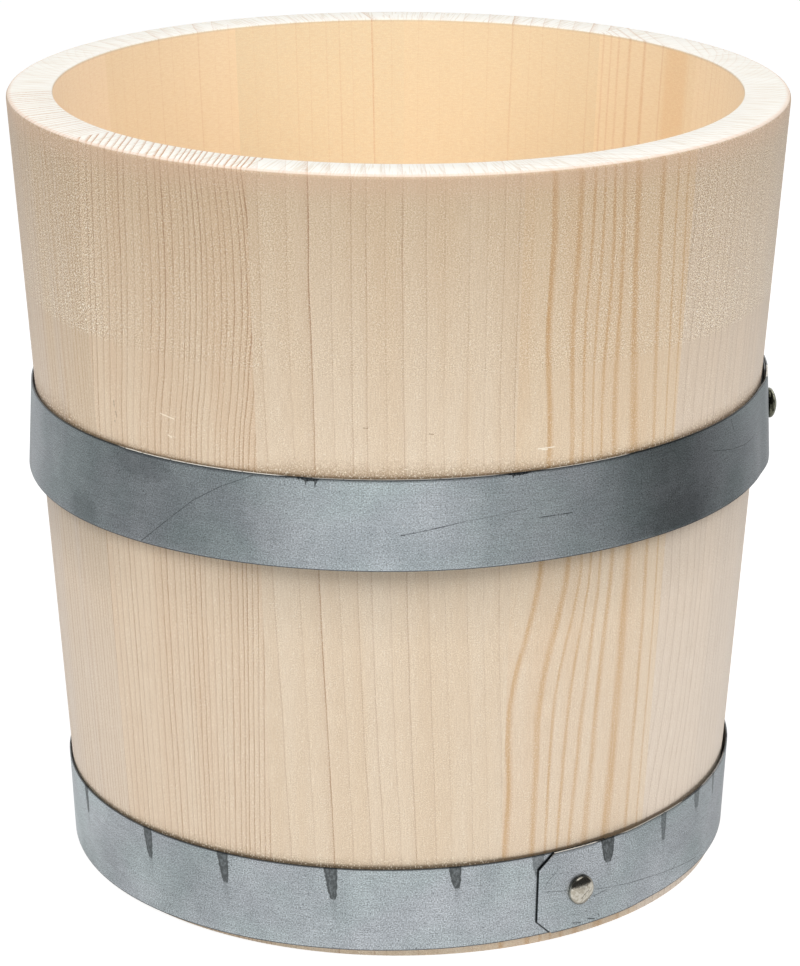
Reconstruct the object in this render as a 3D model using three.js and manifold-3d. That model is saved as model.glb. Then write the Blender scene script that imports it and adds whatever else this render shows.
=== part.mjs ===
// Coopered wooden bucket: tapered spruce staves round a jointed bottom, held by two riveted steel hoops.
// Millimetres, +Z up, origin at the middle of the foot, on the ground.
// Angles are in degrees, from the front (-Y) and growing towards the right (+X).

import * as THREE from 'three';
import { mergeVertices } from 'three/addons/utils/BufferGeometryUtils.js';
import Module from 'manifold-3d';

// Body of the bucket
const bucketHeight = 224;
const rimRadius = 110;
const footRadius = 95.5;
const wallThickness = 13;
const rimRound = 1.4;
const innerRimEase = 0.5;
const staveGap = 0.1;

// Joints between neighbouring staves, as angles round the bucket, no two staves alike
const staveJointAngles = [-84, -51, -20.5, 17, 45, 80, 115.5, 141, 179, 211, 243];

// Bottom, seated in a groove cut round the inside of the staves
const floorHeight = 27;
const bottomThickness = 12;
const tongueThickness = 7.5;
const grooveDepth = 4.5;
const grooveClearance = 0.3;
const bottomBevel = 5;
const boardGap = 0.1;
const boardJointShares = [-0.36, 0.31];

// Dowels that join the bottom boards edge to edge
const dowelRadius = 3;
const dowelLength = 30;
const dowelClearance = 0.15;
const dowelPlaceShare = 0.52;

// Steel strip of both hoops
const stripWidth = 25;
const stripThickness = 0.5;
const lapGap = 0.2;
const cornerCut = 4.5;

// Upper hoop: bent as a cylinder, so it bears at its top edge and stands off at its lower edge
const upperHoopHeight = 117.2;
const upperHoopTopGap = 0.4;
const upperHoopFootGap = 3.3;
const upperHoopSideSlack = 0.1;
const upperHoopDip = 1.5;
const upperHoopRivetAngle = 88.5;

// Lower hoop: flared to the taper of the staves
const lowerHoopHeight = 2.5;
const lowerHoopTopGap = 0.25;
const lowerHoopFootGap = 0.75;
const lowerHoopSideSlack = 0.6;
const lowerHoopDip = 1.9;
const lowerHoopRivetAngle = 31;

// Lap of a hoop, measured along the strip from its rivet
const lapOuterReach = 12.7;
const lapInnerReach = 12.5;
const lapJoggle = 16;

// Rivets
const shankRadius = 2.5;
const rivetHeadRadius = 4.4;
const rivetHeadHeight = 2.5;
const rivetTailRadius = 3.8;
const rivetTailHeight = 1;
const rivetClearance = 0.1;
const pocketClearance = 0.3;

// Fineness of the curved faces
const fullTurn = 360;
const facetsPerTurn = 72;
const leastFacetShare = 0.125;
const joggleEaseShare = 0.25;
const cornerMarginShare = 1.1;
const rimRoundSteps = 3;
const shankSides = 20;
const dowelSides = 16;
const headSteps = 5;

const wasm = await Module();
wasm.setup();

const facetAngle = fullTurn / facetsPerTurn;
const chordShare = Math.cos(THREE.MathUtils.degToRad(facetAngle / 2));

const spruce = { color: 0xe3c9a2, roughness: 0.72, metalness: 0 };
const boardSpruce = { color: 0xdfc093, roughness: 0.75, metalness: 0 };
const beech = { color: 0xcfa675, roughness: 0.65, metalness: 0 };
const upperSteel = { color: 0x7d868b, roughness: 0.42, metalness: 0.85 };
const lowerSteel = { color: 0x98a2a8, roughness: 0.48, metalness: 0.85 };
const rivetSteel = { color: 0xb9b6a8, roughness: 0.3, metalness: 0.9 };

function outerRadius(height) {
  return footRadius + (rimRadius - footRadius) * height / bucketHeight;
}

function innerRadius(height) {
  return outerRadius(height) - wallThickness;
}

function outwards(angle) {
  const turn = THREE.MathUtils.degToRad(angle);
  return new THREE.Vector3(Math.sin(turn), -Math.cos(turn), 0);
}

function sideways(angle) {
  const turn = THREE.MathUtils.degToRad(angle);
  return new THREE.Vector3(Math.cos(turn), Math.sin(turn), 0);
}

// A point at a radius, an angle and a height, moved sideways by a shift
function pointAt(radius, angle, height, shift = 0) {
  const point = outwards(angle).multiplyScalar(radius);
  point.addScaledVector(sideways(angle), shift);
  point.z = height;
  return point;
}

// The start angle, the facet corners between, and the end angle
function anglesBetween(start, end) {
  const least = facetAngle * leastFacetShare;
  const angles = [start];
  for (let step = Math.ceil(start / facetAngle); step * facetAngle < end; step += 1) {
    const angle = step * facetAngle;
    if (angle - start > least && end - angle > least) {
      angles.push(angle);
    }
  }
  angles.push(end);
  return angles;
}

// A closed solid through a row of sections, each a loop of as many points, with both ends capped
function sweptSolid(sections, flatOutline) {
  const loop = flatOutline.length;
  const positions = [];
  for (const section of sections) {
    for (const point of section) {
      positions.push(point.x, point.y, point.z);
    }
  }
  const indices = [];
  for (let row = 0; row + 1 < sections.length; row += 1) {
    for (let corner = 0; corner < loop; corner += 1) {
      const next = (corner + 1) % loop;
      const a = row * loop + corner;
      const b = row * loop + next;
      indices.push(a, b, b + loop);
      indices.push(a, b + loop, a + loop);
    }
  }
  const last = (sections.length - 1) * loop;
  for (const [a, b, c] of THREE.ShapeUtils.triangulateShape(flatOutline, [])) {
    indices.push(a, c, b);
    indices.push(last + a, last + b, last + c);
  }
  const geometry = new THREE.BufferGeometry();
  geometry.setAttribute('position', new THREE.Float32BufferAttribute(positions, 3));
  geometry.setIndex(indices);
  return facingOut(geometry);
}

function signedVolume(geometry) {
  const place = geometry.getAttribute('position');
  const index = geometry.getIndex();
  const corners = [new THREE.Vector3(), new THREE.Vector3(), new THREE.Vector3()];
  let sum = 0;
  for (let first = 0; first < index.count; first += 3) {
    corners.forEach((corner, k) => corner.fromBufferAttribute(place, index.getX(first + k)));
    sum += corners[0].dot(corners[1].clone().cross(corners[2]));
  }
  return sum;
}

function facingOut(geometry) {
  if (signedVolume(geometry) < 0) {
    const index = geometry.getIndex();
    for (let first = 0; first < index.count; first += 3) {
      const kept = index.getX(first + 1);
      index.setX(first + 1, index.getX(first + 2));
      index.setX(first + 2, kept);
    }
  }
  return geometry;
}

function toSolid(geometry) {
  const bare = geometry.clone();
  bare.deleteAttribute('normal');
  bare.deleteAttribute('uv');
  const merged = mergeVertices(bare);
  const solid = new wasm.Mesh({
    numProp: 3,
    vertProperties: new Float32Array(merged.getAttribute('position').array),
    triVerts: new Uint32Array(merged.getIndex().array),
  });
  return new wasm.Manifold(solid);
}

function toGeometry(solid) {
  const mesh = solid.getMesh();
  const geometry = new THREE.BufferGeometry();
  geometry.setAttribute('position', new THREE.BufferAttribute(mesh.vertProperties, 3));
  geometry.setIndex(new THREE.BufferAttribute(mesh.triVerts, 1));
  return geometry;
}

// A solid turned about +Z, from its outline of radii and heights, with its corners on the facet angles
function turned(outline, sides) {
  const geometry = new THREE.LatheGeometry(outline, sides);
  geometry.rotateX(Math.PI / 2);
  return geometry;
}

// Staves

function rimArc() {
  const points = [];
  const middle = outerRadius(bucketHeight - rimRound) - rimRound;
  for (let step = 0; step <= rimRoundSteps; step += 1) {
    const turn = (Math.PI / 2) * (step / rimRoundSteps);
    const radius = middle + rimRound * Math.cos(turn);
    const height = bucketHeight - rimRound + rimRound * Math.sin(turn);
    points.push(new THREE.Vector2(radius, height));
  }
  return points;
}

// Lengthwise section of a stave: radius and height, foot, outer face, rim, inner face and groove
function staveOutline() {
  const grooveTop = floorHeight + grooveClearance;
  const grooveFoot = floorHeight - tongueThickness - grooveClearance;
  const rimInner = outerRadius(bucketHeight) - wallThickness;
  return [
    new THREE.Vector2(outerRadius(0), 0),
    ...rimArc(),
    new THREE.Vector2(rimInner + innerRimEase, bucketHeight),
    new THREE.Vector2(innerRadius(bucketHeight - innerRimEase), bucketHeight - innerRimEase),
    new THREE.Vector2(innerRadius(grooveTop), grooveTop),
    new THREE.Vector2(grooveRadius(), grooveTop),
    new THREE.Vector2(grooveRadius(), grooveFoot),
    new THREE.Vector2(innerRadius(grooveFoot), grooveFoot),
    new THREE.Vector2(innerRadius(0), 0),
  ];
}

function grooveRadius() {
  return innerRadius(floorHeight) + grooveDepth;
}

function staveSolid(start, end) {
  const outline = staveOutline();
  const angles = anglesBetween(start, end);
  const sections = angles.map((angle, k) => {
    let shift = 0;
    if (k === 0) {
      shift = staveGap / 2;
    }
    if (k === angles.length - 1) {
      shift = -staveGap / 2;
    }
    return outline.map((point) => pointAt(point.x, angle, point.y, shift));
  });
  return sweptSolid(sections, outline);
}

// Hoops

const upperHoop = {
  height: upperHoopHeight,
  topGap: upperHoopTopGap,
  footGap: upperHoopFootGap,
  slack: upperHoopSideSlack,
  dip: upperHoopDip,
  rivetAngle: upperHoopRivetAngle,
  runs: -1,
};

const lowerHoop = {
  height: lowerHoopHeight,
  topGap: lowerHoopTopGap,
  footGap: lowerHoopFootGap,
  slack: lowerHoopSideSlack,
  dip: lowerHoopDip,
  rivetAngle: lowerHoopRivetAngle,
  runs: 1,
};

// Height on a hoop: up is the way from its lower edge, and its plane dips towards the left
function hoopHeightAt(hoop, angle, up) {
  return hoop.height + up + hoop.dip * outwards(angle).x;
}

// Radius of the strip's inner face, clear of the staves all round, one layer further out where it laps
function hoopRadiusAt(hoop, angle, up, layer) {
  const rise = up / stripWidth;
  const gap = hoop.footGap + (hoop.topGap - hoop.footGap) * rise;
  const slack = hoop.slack * (1 + outwards(angle).x) / 2;
  const wood = outerRadius(hoopHeightAt(hoop, angle, up));
  return wood + gap + slack + layer * (stripThickness + lapGap);
}

function hoopDegrees(hoop, length) {
  return THREE.MathUtils.radToDeg(length / outerRadius(hoop.height));
}

// One section of the strip, so far from its visible end
function hoopSection(hoop, run, whole) {
  const angle = hoop.rivetAngle + hoop.runs * (run - hoopDegrees(hoop, lapOuterReach));
  const lapEnd = hoopDegrees(hoop, lapOuterReach + lapInnerReach);
  const joggle = hoopDegrees(hoop, lapJoggle);
  const easing = facetAngle * joggleEaseShare;
  const layer = THREE.MathUtils.clamp((lapEnd + joggle - run) / (joggle - easing), 0, 1);
  const toEnd = Math.min(run, whole - run) / hoopDegrees(hoop, cornerCut);
  const cut = cornerCut * (1 - Math.min(toEnd, 1));
  const low = cut;
  const high = stripWidth - cut;
  return [
    [low, 0],
    [low, stripThickness],
    [high, stripThickness],
    [high, 0],
  ].map(([up, out]) => {
    const radius = hoopRadiusAt(hoop, angle, up, layer) + out;
    return pointAt(radius, angle, hoopHeightAt(hoop, angle, up));
  });
}

function hoopRuns(hoop) {
  const lap = hoopDegrees(hoop, lapOuterReach + lapInnerReach);
  const whole = fullTurn + lap;
  const corner = hoopDegrees(hoop, cornerCut);
  const margin = corner * cornerMarginShare;
  const begin = hoop.rivetAngle - hoop.runs * hoopDegrees(hoop, lapOuterReach);
  const first = hoop.runs > 0 ? begin : begin - whole;
  const onFacets = anglesBetween(first, first + whole).map((angle) => (angle - begin) * hoop.runs);
  const between = onFacets.filter((run) => run > margin && run < whole - margin);
  const runs = [0, corner, ...between, whole - corner, whole];
  return runs.sort((a, b) => a - b);
}

function hoopStrip(hoop) {
  const runs = hoopRuns(hoop);
  const whole = runs[runs.length - 1];
  const sections = runs.map((run) => hoopSection(hoop, run, whole));
  const flatOutline = [
    new THREE.Vector2(0, 0),
    new THREE.Vector2(stripThickness, 0),
    new THREE.Vector2(stripThickness, stripWidth),
    new THREE.Vector2(0, stripWidth),
  ];
  return sweptSolid(sections, flatOutline);
}

// Where a hoop's rivet sits: the middle of the strip, its axis square to the strip's outer face
function rivetPlace(hoop) {
  const middle = stripWidth / 2;
  const angle = hoop.rivetAngle;
  const foot = pointAt(hoopRadiusAt(hoop, angle, 0, 1), angle, hoopHeightAt(hoop, angle, 0));
  const top = pointAt(
    hoopRadiusAt(hoop, angle, stripWidth, 1),
    angle,
    hoopHeightAt(hoop, angle, stripWidth),
  );
  const along = top.clone().sub(foot).normalize();
  const axis = sideways(angle).cross(along).normalize();
  if (axis.dot(outwards(angle)) < 0) {
    axis.negate();
  }
  const innerFace = hoopRadiusAt(hoop, angle, middle, 0);
  const centre = pointAt(innerFace, angle, hoopHeightAt(hoop, angle, middle));
  return { centre, axis, innerFace };
}

// Lifts geometry made along +Z from the origin onto the rivet's axis
function placedOn(place, geometry) {
  const turn = new THREE.Quaternion().setFromUnitVectors(new THREE.Vector3(0, 0, 1), place.axis);
  geometry.applyQuaternion(turn);
  geometry.translate(place.centre.x, place.centre.y, place.centre.z);
  return geometry;
}

// Heights along a rivet's axis, from the inner face of the inner layer
function rivetHeights(place) {
  const faceting = place.innerFace * (1 - chordShare);
  const curve = rivetTailRadius ** 2 / (2 * place.innerFace);
  const tailTop = -(faceting + curve + rivetClearance);
  const headFoot = 2 * stripThickness + lapGap + rivetClearance;
  return { tailTop, tailFoot: tailTop - rivetTailHeight, headFoot };
}

function rivetSolid(hoop) {
  const place = rivetPlace(hoop);
  const heights = rivetHeights(place);
  const outline = [
    new THREE.Vector2(0, heights.tailFoot),
    new THREE.Vector2(rivetTailRadius, heights.tailFoot),
    new THREE.Vector2(rivetTailRadius, heights.tailTop),
    new THREE.Vector2(shankRadius, heights.tailTop),
    new THREE.Vector2(shankRadius, heights.headFoot),
  ];
  const ball = (rivetHeadRadius ** 2 + rivetHeadHeight ** 2) / (2 * rivetHeadHeight);
  const middle = heights.headFoot + rivetHeadHeight - ball;
  const widest = Math.asin(Math.min(1, rivetHeadRadius / ball));
  for (let step = 0; step < headSteps; step += 1) {
    const turn = widest * (1 - step / headSteps);
    outline.push(new THREE.Vector2(ball * Math.sin(turn), middle + ball * Math.cos(turn)));
  }
  outline.push(new THREE.Vector2(0, middle + ball));
  return placedOn(place, turned(outline, shankSides));
}

function roundBar(radius, low, high, sides) {
  const outline = [
    new THREE.Vector2(0, low),
    new THREE.Vector2(radius, low),
    new THREE.Vector2(radius, high),
    new THREE.Vector2(0, high),
  ];
  return turned(outline, sides);
}

function rivetHole(hoop) {
  const reach = rivetHeadHeight + stripThickness;
  const bar = roundBar(shankRadius + rivetClearance, -reach, reach, shankSides);
  return toSolid(placedOn(rivetPlace(hoop), bar));
}

// The dent that a rivet's flattened tail has pressed into the stave behind it
function rivetPocket(hoop) {
  const place = rivetPlace(hoop);
  const foot = rivetHeights(place).tailFoot - pocketClearance;
  const bar = roundBar(rivetTailRadius + pocketClearance, foot, stripThickness, shankSides);
  return toSolid(placedOn(place, bar));
}

// Bottom boards and their dowels

function bottomDisc() {
  const tongueFoot = floorHeight - tongueThickness;
  const underside = floorHeight - bottomThickness;
  const lip = innerRadius(tongueFoot) - grooveClearance;
  const tongueRadius = grooveRadius() - grooveClearance;
  const outline = [
    new THREE.Vector2(0, underside),
    new THREE.Vector2(lip - bottomBevel, underside),
    new THREE.Vector2(lip, tongueFoot),
    new THREE.Vector2(tongueRadius, tongueFoot),
    new THREE.Vector2(tongueRadius, floorHeight),
    new THREE.Vector2(0, floorHeight),
  ];
  return toSolid(turned(outline, facetsPerTurn));
}

function boardEdges() {
  const reach = grooveRadius();
  return [-reach, ...boardJointShares.map((share) => share * reach), reach];
}

function slab(from, to) {
  const across = 2 * rimRadius;
  const box = new THREE.BoxGeometry(across, to - from, across);
  box.translate(0, (from + to) / 2, 0);
  return toSolid(box);
}

// Dowel centres: two along each joint between boards
function dowelPlaces() {
  const reach = grooveRadius();
  const height = floorHeight - bottomThickness / 2;
  const places = [];
  for (const share of boardJointShares) {
    const halfJoint = reach * Math.sqrt(1 - share ** 2);
    for (const side of [-1, 1]) {
      places.push(new THREE.Vector3(side * dowelPlaceShare * halfJoint, share * reach, height));
    }
  }
  return places;
}

function dowelBar(centre, radius, length) {
  const bar = new THREE.CylinderGeometry(radius, radius, length, dowelSides);
  bar.translate(centre.x, centre.y, centre.z);
  return bar;
}

function dowelHole(centre) {
  const length = dowelLength + 2 * dowelClearance;
  return toSolid(dowelBar(centre, dowelRadius + dowelClearance, length));
}

function bottomBoards() {
  const disc = bottomDisc();
  const edges = boardEdges();
  const boards = [];
  for (let k = 0; k + 1 < edges.length; k += 1) {
    let board = disc.intersect(slab(edges[k] + boardGap / 2, edges[k + 1] - boardGap / 2));
    for (const centre of dowelPlaces()) {
      board = board.subtract(dowelHole(centre));
    }
    boards.push(toGeometry(board));
  }
  return boards;
}

// Assembly

const bucket = new THREE.Group();

function addPiece(name, geometry, look) {
  const mesh = new THREE.Mesh(geometry, new THREE.MeshStandardMaterial(look));
  mesh.name = name;
  bucket.add(mesh);
}

function numbered(name, count) {
  return `${name}_${String(count).padStart(2, '0')}`;
}

const pockets = [upperHoop, lowerHoop].map(rivetPocket);
staveJointAngles.forEach((start, k) => {
  const end = k + 1 < staveJointAngles.length ? staveJointAngles[k + 1] : staveJointAngles[0] + fullTurn;
  let stave = toSolid(staveSolid(start, end));
  for (const pocket of pockets) {
    stave = stave.subtract(pocket);
  }
  addPiece(numbered('stave', k + 1), toGeometry(stave), spruce);
});

const boards = bottomBoards();
['front', 'middle', 'back'].forEach((place, k) => {
  addPiece(`bottom_board_${place}`, boards[k], boardSpruce);
});

dowelPlaces().forEach((centre, k) => {
  addPiece(numbered('dowel', k + 1), dowelBar(centre, dowelRadius, dowelLength), beech);
});

for (const [name, hoop, look] of [
  ['upper_hoop', upperHoop, upperSteel],
  ['lower_hoop', lowerHoop, lowerSteel],
]) {
  const strip = toSolid(hoopStrip(hoop)).subtract(rivetHole(hoop));
  addPiece(name, toGeometry(strip), look);
  addPiece(`${name}_rivet`, rivetSolid(hoop), rivetSteel);
}

export default bucket;
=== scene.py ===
import math
import random
from dataclasses import dataclass, field

import bmesh
import bpy
from mathutils import Matrix, Vector


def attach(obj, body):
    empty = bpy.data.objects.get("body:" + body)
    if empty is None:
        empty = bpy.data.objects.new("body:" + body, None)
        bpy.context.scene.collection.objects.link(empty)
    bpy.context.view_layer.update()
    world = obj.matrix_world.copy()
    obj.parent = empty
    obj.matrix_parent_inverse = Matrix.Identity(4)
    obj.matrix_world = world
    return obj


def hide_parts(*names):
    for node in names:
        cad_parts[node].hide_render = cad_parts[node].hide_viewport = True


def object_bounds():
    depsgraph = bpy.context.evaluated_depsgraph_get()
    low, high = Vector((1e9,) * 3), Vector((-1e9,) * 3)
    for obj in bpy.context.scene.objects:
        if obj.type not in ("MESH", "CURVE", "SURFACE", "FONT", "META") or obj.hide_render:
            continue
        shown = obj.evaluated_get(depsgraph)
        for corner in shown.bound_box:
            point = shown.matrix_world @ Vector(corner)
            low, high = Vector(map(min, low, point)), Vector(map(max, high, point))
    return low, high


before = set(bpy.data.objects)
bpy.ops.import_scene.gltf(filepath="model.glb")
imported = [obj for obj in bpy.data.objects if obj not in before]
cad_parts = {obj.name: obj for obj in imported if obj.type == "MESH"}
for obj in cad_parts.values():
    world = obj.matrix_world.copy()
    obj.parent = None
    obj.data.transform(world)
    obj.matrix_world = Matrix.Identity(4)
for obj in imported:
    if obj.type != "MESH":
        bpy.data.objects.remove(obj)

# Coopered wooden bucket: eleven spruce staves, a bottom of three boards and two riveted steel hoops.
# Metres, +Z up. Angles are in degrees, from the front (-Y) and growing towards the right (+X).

CAD_LOW, CAD_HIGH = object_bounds()
bpy.ops.object.select_all(action="DESELECT")

MM = 0.001
FULL_TURN = 360
SHARP_OVER = 32
STRIP_SHARP_OVER = 40
RIVET_SHARP_OVER = 50
UP = (0, 0, 1)

# Camera of the photograph
PICTURE_HEIGHT_PX = 966
FOCAL_LENGTH_PX = 3320.5
SENSOR_MM = 36
CAMERA_BACK = 921.05 * MM
CAMERA_HEIGHT = 418.33 * MM
CAMERA_LOOKS_DOWN = 18.765
CAMERA_LOOKS_ASIDE = -0.0446
CAMERA_ROLL = 0.1563


def set_camera():
    data = bpy.data.cameras.new("camera")
    data.sensor_width = SENSOR_MM
    data.lens = FOCAL_LENGTH_PX / PICTURE_HEIGHT_PX * SENSOR_MM
    camera = bpy.data.objects.new("camera", data)
    bpy.context.scene.collection.objects.link(camera)
    bpy.context.scene.camera = camera
    place = Matrix.Translation((0, -CAMERA_BACK, CAMERA_HEIGHT))
    aside = Matrix.Rotation(math.radians(CAMERA_LOOKS_ASIDE), 4, "Z")
    down = Matrix.Rotation(math.radians(90 - CAMERA_LOOKS_DOWN), 4, "X")
    roll = Matrix.Rotation(math.radians(CAMERA_ROLL), 4, "Z")
    camera.matrix_world = place @ aside @ down @ roll


set_camera()
bpy.context.scene.view_settings.view_transform = "Standard"

# Body of the bucket
HEIGHT = CAD_HIGH.z
RIM_RADIUS = 110 * MM
FOOT_RADIUS = 95.5 * MM
WALL = 13 * MM
RIM_ROUND = 1.4 * MM
INNER_EASE = 0.5 * MM
FOOT_EASE = 0.3 * MM
STAVE_STEP = 1.25
STAVE_JOINTS = [-84, -51, -20.5, 17, 45, 80, 115.5, 141, 179, 211, 243, 276]

# Bottom in its groove
FLOOR_HEIGHT = 27 * MM
BOTTOM_THICKNESS = 12 * MM
TONGUE_THICKNESS = 7.5 * MM
GROOVE_DEPTH = 4.5 * MM
GROOVE_CLEARANCE = 0.3 * MM
BOTTOM_BEVEL = 5 * MM
BOARD_GAP = 0.1 * MM
BOARD_EASE = 0.35 * MM
BOARD_JOINT_SHARES = [-0.36, 0.31]
DISC_SIDES = 180

# Dowels between the boards
DOWEL_HOLE_RADIUS = 3.15 * MM
DOWEL_HOLE_LENGTH = 30.3 * MM
DOWEL_PLACE_SHARE = 0.52
DOWEL_SIDES = 24

# Steel strip
STRIP_WIDTH = 25 * MM
STRIP_THICKNESS = 0.5 * MM
STRIP_CELL = 0.9 * MM
STRIP_EDGE = 0.12 * MM
LAP_GAP = 0.2 * MM
CORNER_CUT = 4.5 * MM
LAP_OUTER_REACH = 12.7 * MM
LAP_INNER_REACH = 12.5 * MM
LAP_JOGGLE = 16 * MM
JOGGLE_EASE = 1.25
MARK_MARGIN = 2.5 * MM
MARK_SHIFT = 10 * MM
# Soft unevenness of a strip: waves round the bucket, phase, twist up the strip and share
RIPPLES = [(7, 1.3, 0, 1), (11, 0, 2, 0.7)]
RIPPLE_SHARE = 0.4

# Rivets
SHANK_RADIUS = 2.5 * MM
RIVET_HEAD_RADIUS = 4.4 * MM
RIVET_HEAD_HEIGHT = 2.5 * MM
RIVET_FLANGE = 0.45 * MM
RIVET_TAIL_RADIUS = 3.8 * MM
RIVET_TAIL_HEIGHT = 1 * MM
RIVET_TAIL_GAP = 0.27 * MM
RIVET_CLEARANCE = 0.1 * MM
POCKET_CLEARANCE = 0.3 * MM
RIVET_SIDES = 48
DOME_STEPS = 9
DOME_FULLNESS = 1.2
HEAD_FOOT_SHARE = 0.94
HEAD_RIM_SHARE = 0.9
DOME_LEFT_OPEN = 0.4
HAMMERED_OFF = 0.02 * MM
HAMMERED_FLAT = Vector((0.28, -0.34, 1))


@dataclass
class Hoop:
    """A strip bent round the bucket. Its plane dips to the left, and its lap starts at the rivet.

    The look of its stain and painted contact shade: darkness, colour, and the reach in mm and darkness of the
    line at the hoop.
    """

    height: float
    top_gap: float
    foot_gap: float
    slack: float
    dip: float
    rivet_angle: float
    runs: int
    wave: float
    head_shift: tuple = (0.0, 0.0)
    head_wide: float = 1.0
    marks: list = field(default_factory=list)
    stain_and_shade: list = field(default_factory=list)
    stain_and_shade_look: tuple = ()


# Marks of the driver on a hoop's upper edge: angle, half width, reach down the strip and darkness
UPPER_MARKS = [
    (17.5, 3.4, 2.0, 1.0), (-12.4, 2.9, 3.0, 1.0), (-16.2, 1.6, 0.9, 0.9), (-97, 1.8, 1.6, 1.0),
    (-152, 2.2, 2.0, 1.0), (-188, 1.5, 1.4, 1.0), (-231, 2.1, 1.9, 1.0),
]
LOWER_MARKS = [
    (36.4, 2.4, 7.8, 1.0), (50, 1.3, 9, 0.7), (60.7, 1.9, 6, 0.6), (68.5, 0.9, 7, 0.6), (85, 1.5, 9, 0.9),
    (101, 1.6, 10, 0.8), (117, 1.4, 8.5, 1.0), (131, 1.7, 10.5, 0.9), (148, 1.5, 9.5, 1.0),
    (163, 1.6, 8, 0.8), (179, 1.7, 10, 0.9), (194, 1.4, 9, 1.0), (210, 1.6, 11, 0.9), (226, 1.5, 8.5, 1.0),
    (241, 1.7, 9.5, 0.8), (257, 1.5, 10, 1.0), (274, 1.5, 8.5, 0.9), (293.6, 1.4, 8.5, 0.9),
    (314.6, 1.8, 9.5, 0.9), (330.8, 1.8, 9.5, 0.95), (349.6, 1.9, 10, 1.0), (369.5, 1.8, 7, 1.0),
    (383.4, 1.9, 7, 0.6),
]

# Reach in mm of the stain and painted contact shade on the wood above each hoop: angle, reach
UPPER_STAIN_AND_SHADE = [
    (-90, 7), (-60, 7), (-54, 1.6), (-24, 1.4), (-15, 6), (4, 5.5), (18, 4), (26, 2.6), (45, 2.6), (56, 4),
    (86, 5), (96, 3), (140, 5), (180, 3), (230, 5), (280, 7),
]
LOWER_STAIN_AND_SHADE = [
    (-90, 2.4), (-60, 2.6), (-40, 3.4), (8, 3.2), (17, 1.8), (23, 0.7), (50, 0.7), (58, 1.8), (86, 2.4),
    (180, 3.4), (280, 2.8),
]

UPPER_HOOP = Hoop(
    height=117.2 * MM, top_gap=0.4 * MM, foot_gap=3.3 * MM, slack=0.1 * MM, dip=1.5 * MM,
    rivet_angle=88.5, runs=-1, wave=0.12 * MM, marks=UPPER_MARKS, stain_and_shade=UPPER_STAIN_AND_SHADE,
    stain_and_shade_look=(0.8, (146, 112, 74), 0.5, 0.4),
)
LOWER_HOOP = Hoop(
    height=2.5 * MM, top_gap=0.25 * MM, foot_gap=0.75 * MM, slack=0.6 * MM, dip=1.9 * MM,
    rivet_angle=31, runs=1, wave=0.06 * MM, head_shift=(0.3 * MM, -0.8 * MM), head_wide=0.9,
    marks=LOWER_MARKS, stain_and_shade=LOWER_STAIN_AND_SHADE, stain_and_shade_look=(0.6, (140, 114, 76), 1.2, 0.66),
)


def outer_radius(height):
    return FOOT_RADIUS + (RIM_RADIUS - FOOT_RADIUS) * height / HEIGHT


def inner_radius(height):
    return outer_radius(height) - WALL


def groove_radius():
    return inner_radius(FLOOR_HEIGHT) + GROOVE_DEPTH


def outwards(angle):
    turn = math.radians(angle)
    return Vector((math.sin(turn), -math.cos(turn), 0))


def point_at(radius, angle, height):
    return outwards(angle) * radius + Vector((0, 0, height))


def hoop_height_at(hoop, angle, up):
    return hoop.height + up + hoop.dip * outwards(angle).x


def hoop_radius_at(hoop, angle, up, layer):
    gap = hoop.foot_gap + (hoop.top_gap - hoop.foot_gap) * up / STRIP_WIDTH
    slack = hoop.slack * (1 + outwards(angle).x) / 2
    wood = outer_radius(hoop_height_at(hoop, angle, up))
    return wood + gap + slack + layer * (STRIP_THICKNESS + LAP_GAP)


def on_hoop(hoop, angle, up, layer, out=0):
    """A place on the strip's inner face, or further out."""
    radius = hoop_radius_at(hoop, angle, up, layer) + out
    return point_at(radius, angle, hoop_height_at(hoop, angle, up))


def hoop_degrees(hoop, length):
    return math.degrees(length / outer_radius(hoop.height))


def hoop_length(hoop):
    turn = math.radians(FULL_TURN) * outer_radius(hoop.height)
    return turn + LAP_OUTER_REACH + LAP_INNER_REACH


def strip_begin(hoop):
    """The angle of the strip's visible end."""
    return hoop.rivet_angle - hoop.runs * hoop_degrees(hoop, LAP_OUTER_REACH)


def along_strip(hoop, angle):
    """How far an angle is from the visible end, along the flat strip."""
    return math.radians((angle - strip_begin(hoop)) * hoop.runs) * outer_radius(hoop.height)


# Modelling steps

def named(name):
    """Names the primitive that was just added and fixes its place in its mesh."""
    bpy.ops.object.transform_apply(location=True, rotation=True, scale=True)
    piece = bpy.context.object
    piece.name = name
    piece.data.name = name
    return piece


def take(piece):
    bpy.ops.object.select_all(action="DESELECT")
    piece.select_set(True)
    bpy.context.view_layer.objects.active = piece


def edit(piece):
    take(piece)
    bpy.ops.object.mode_set(mode="EDIT")
    bpy.ops.mesh.select_all(action="SELECT")


def leave():
    bpy.ops.object.mode_set(mode="OBJECT")


def copied(piece, name):
    """A copy with a mesh of its own."""
    twin = piece.copy()
    twin.data = piece.data.copy()
    twin.name = name
    twin.data.name = name
    bpy.context.scene.collection.objects.link(twin)
    return twin


def discard(piece):
    bpy.data.objects.remove(piece)


def pick(piece, kind, fits):
    """In edit mode, selects only the corners (VERT), edges or faces whose middle fits."""
    bpy.ops.mesh.select_mode(type=kind)
    bpy.ops.mesh.select_all(action="DESELECT")
    shape = bmesh.from_edit_mesh(piece.data)
    found = {"VERT": shape.verts, "EDGE": shape.edges, "FACE": shape.faces}[kind]
    for element in found:
        corners = [element] if kind == "VERT" else element.verts
        middle = sum((corner.co for corner in corners), Vector()) / len(corners)
        element.select_set(fits(middle))
    shape.select_flush_mode()
    bmesh.update_edit_mesh(piece.data)


def saw(place, direction, **ends):
    """In edit mode, cuts the selected faces along a plane."""
    bpy.ops.mesh.bisect(plane_co=place, plane_no=direction, **ends)


def saw_all(place, direction, **ends):
    bpy.ops.mesh.select_all(action="SELECT")
    saw(place, direction, **ends)


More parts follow.
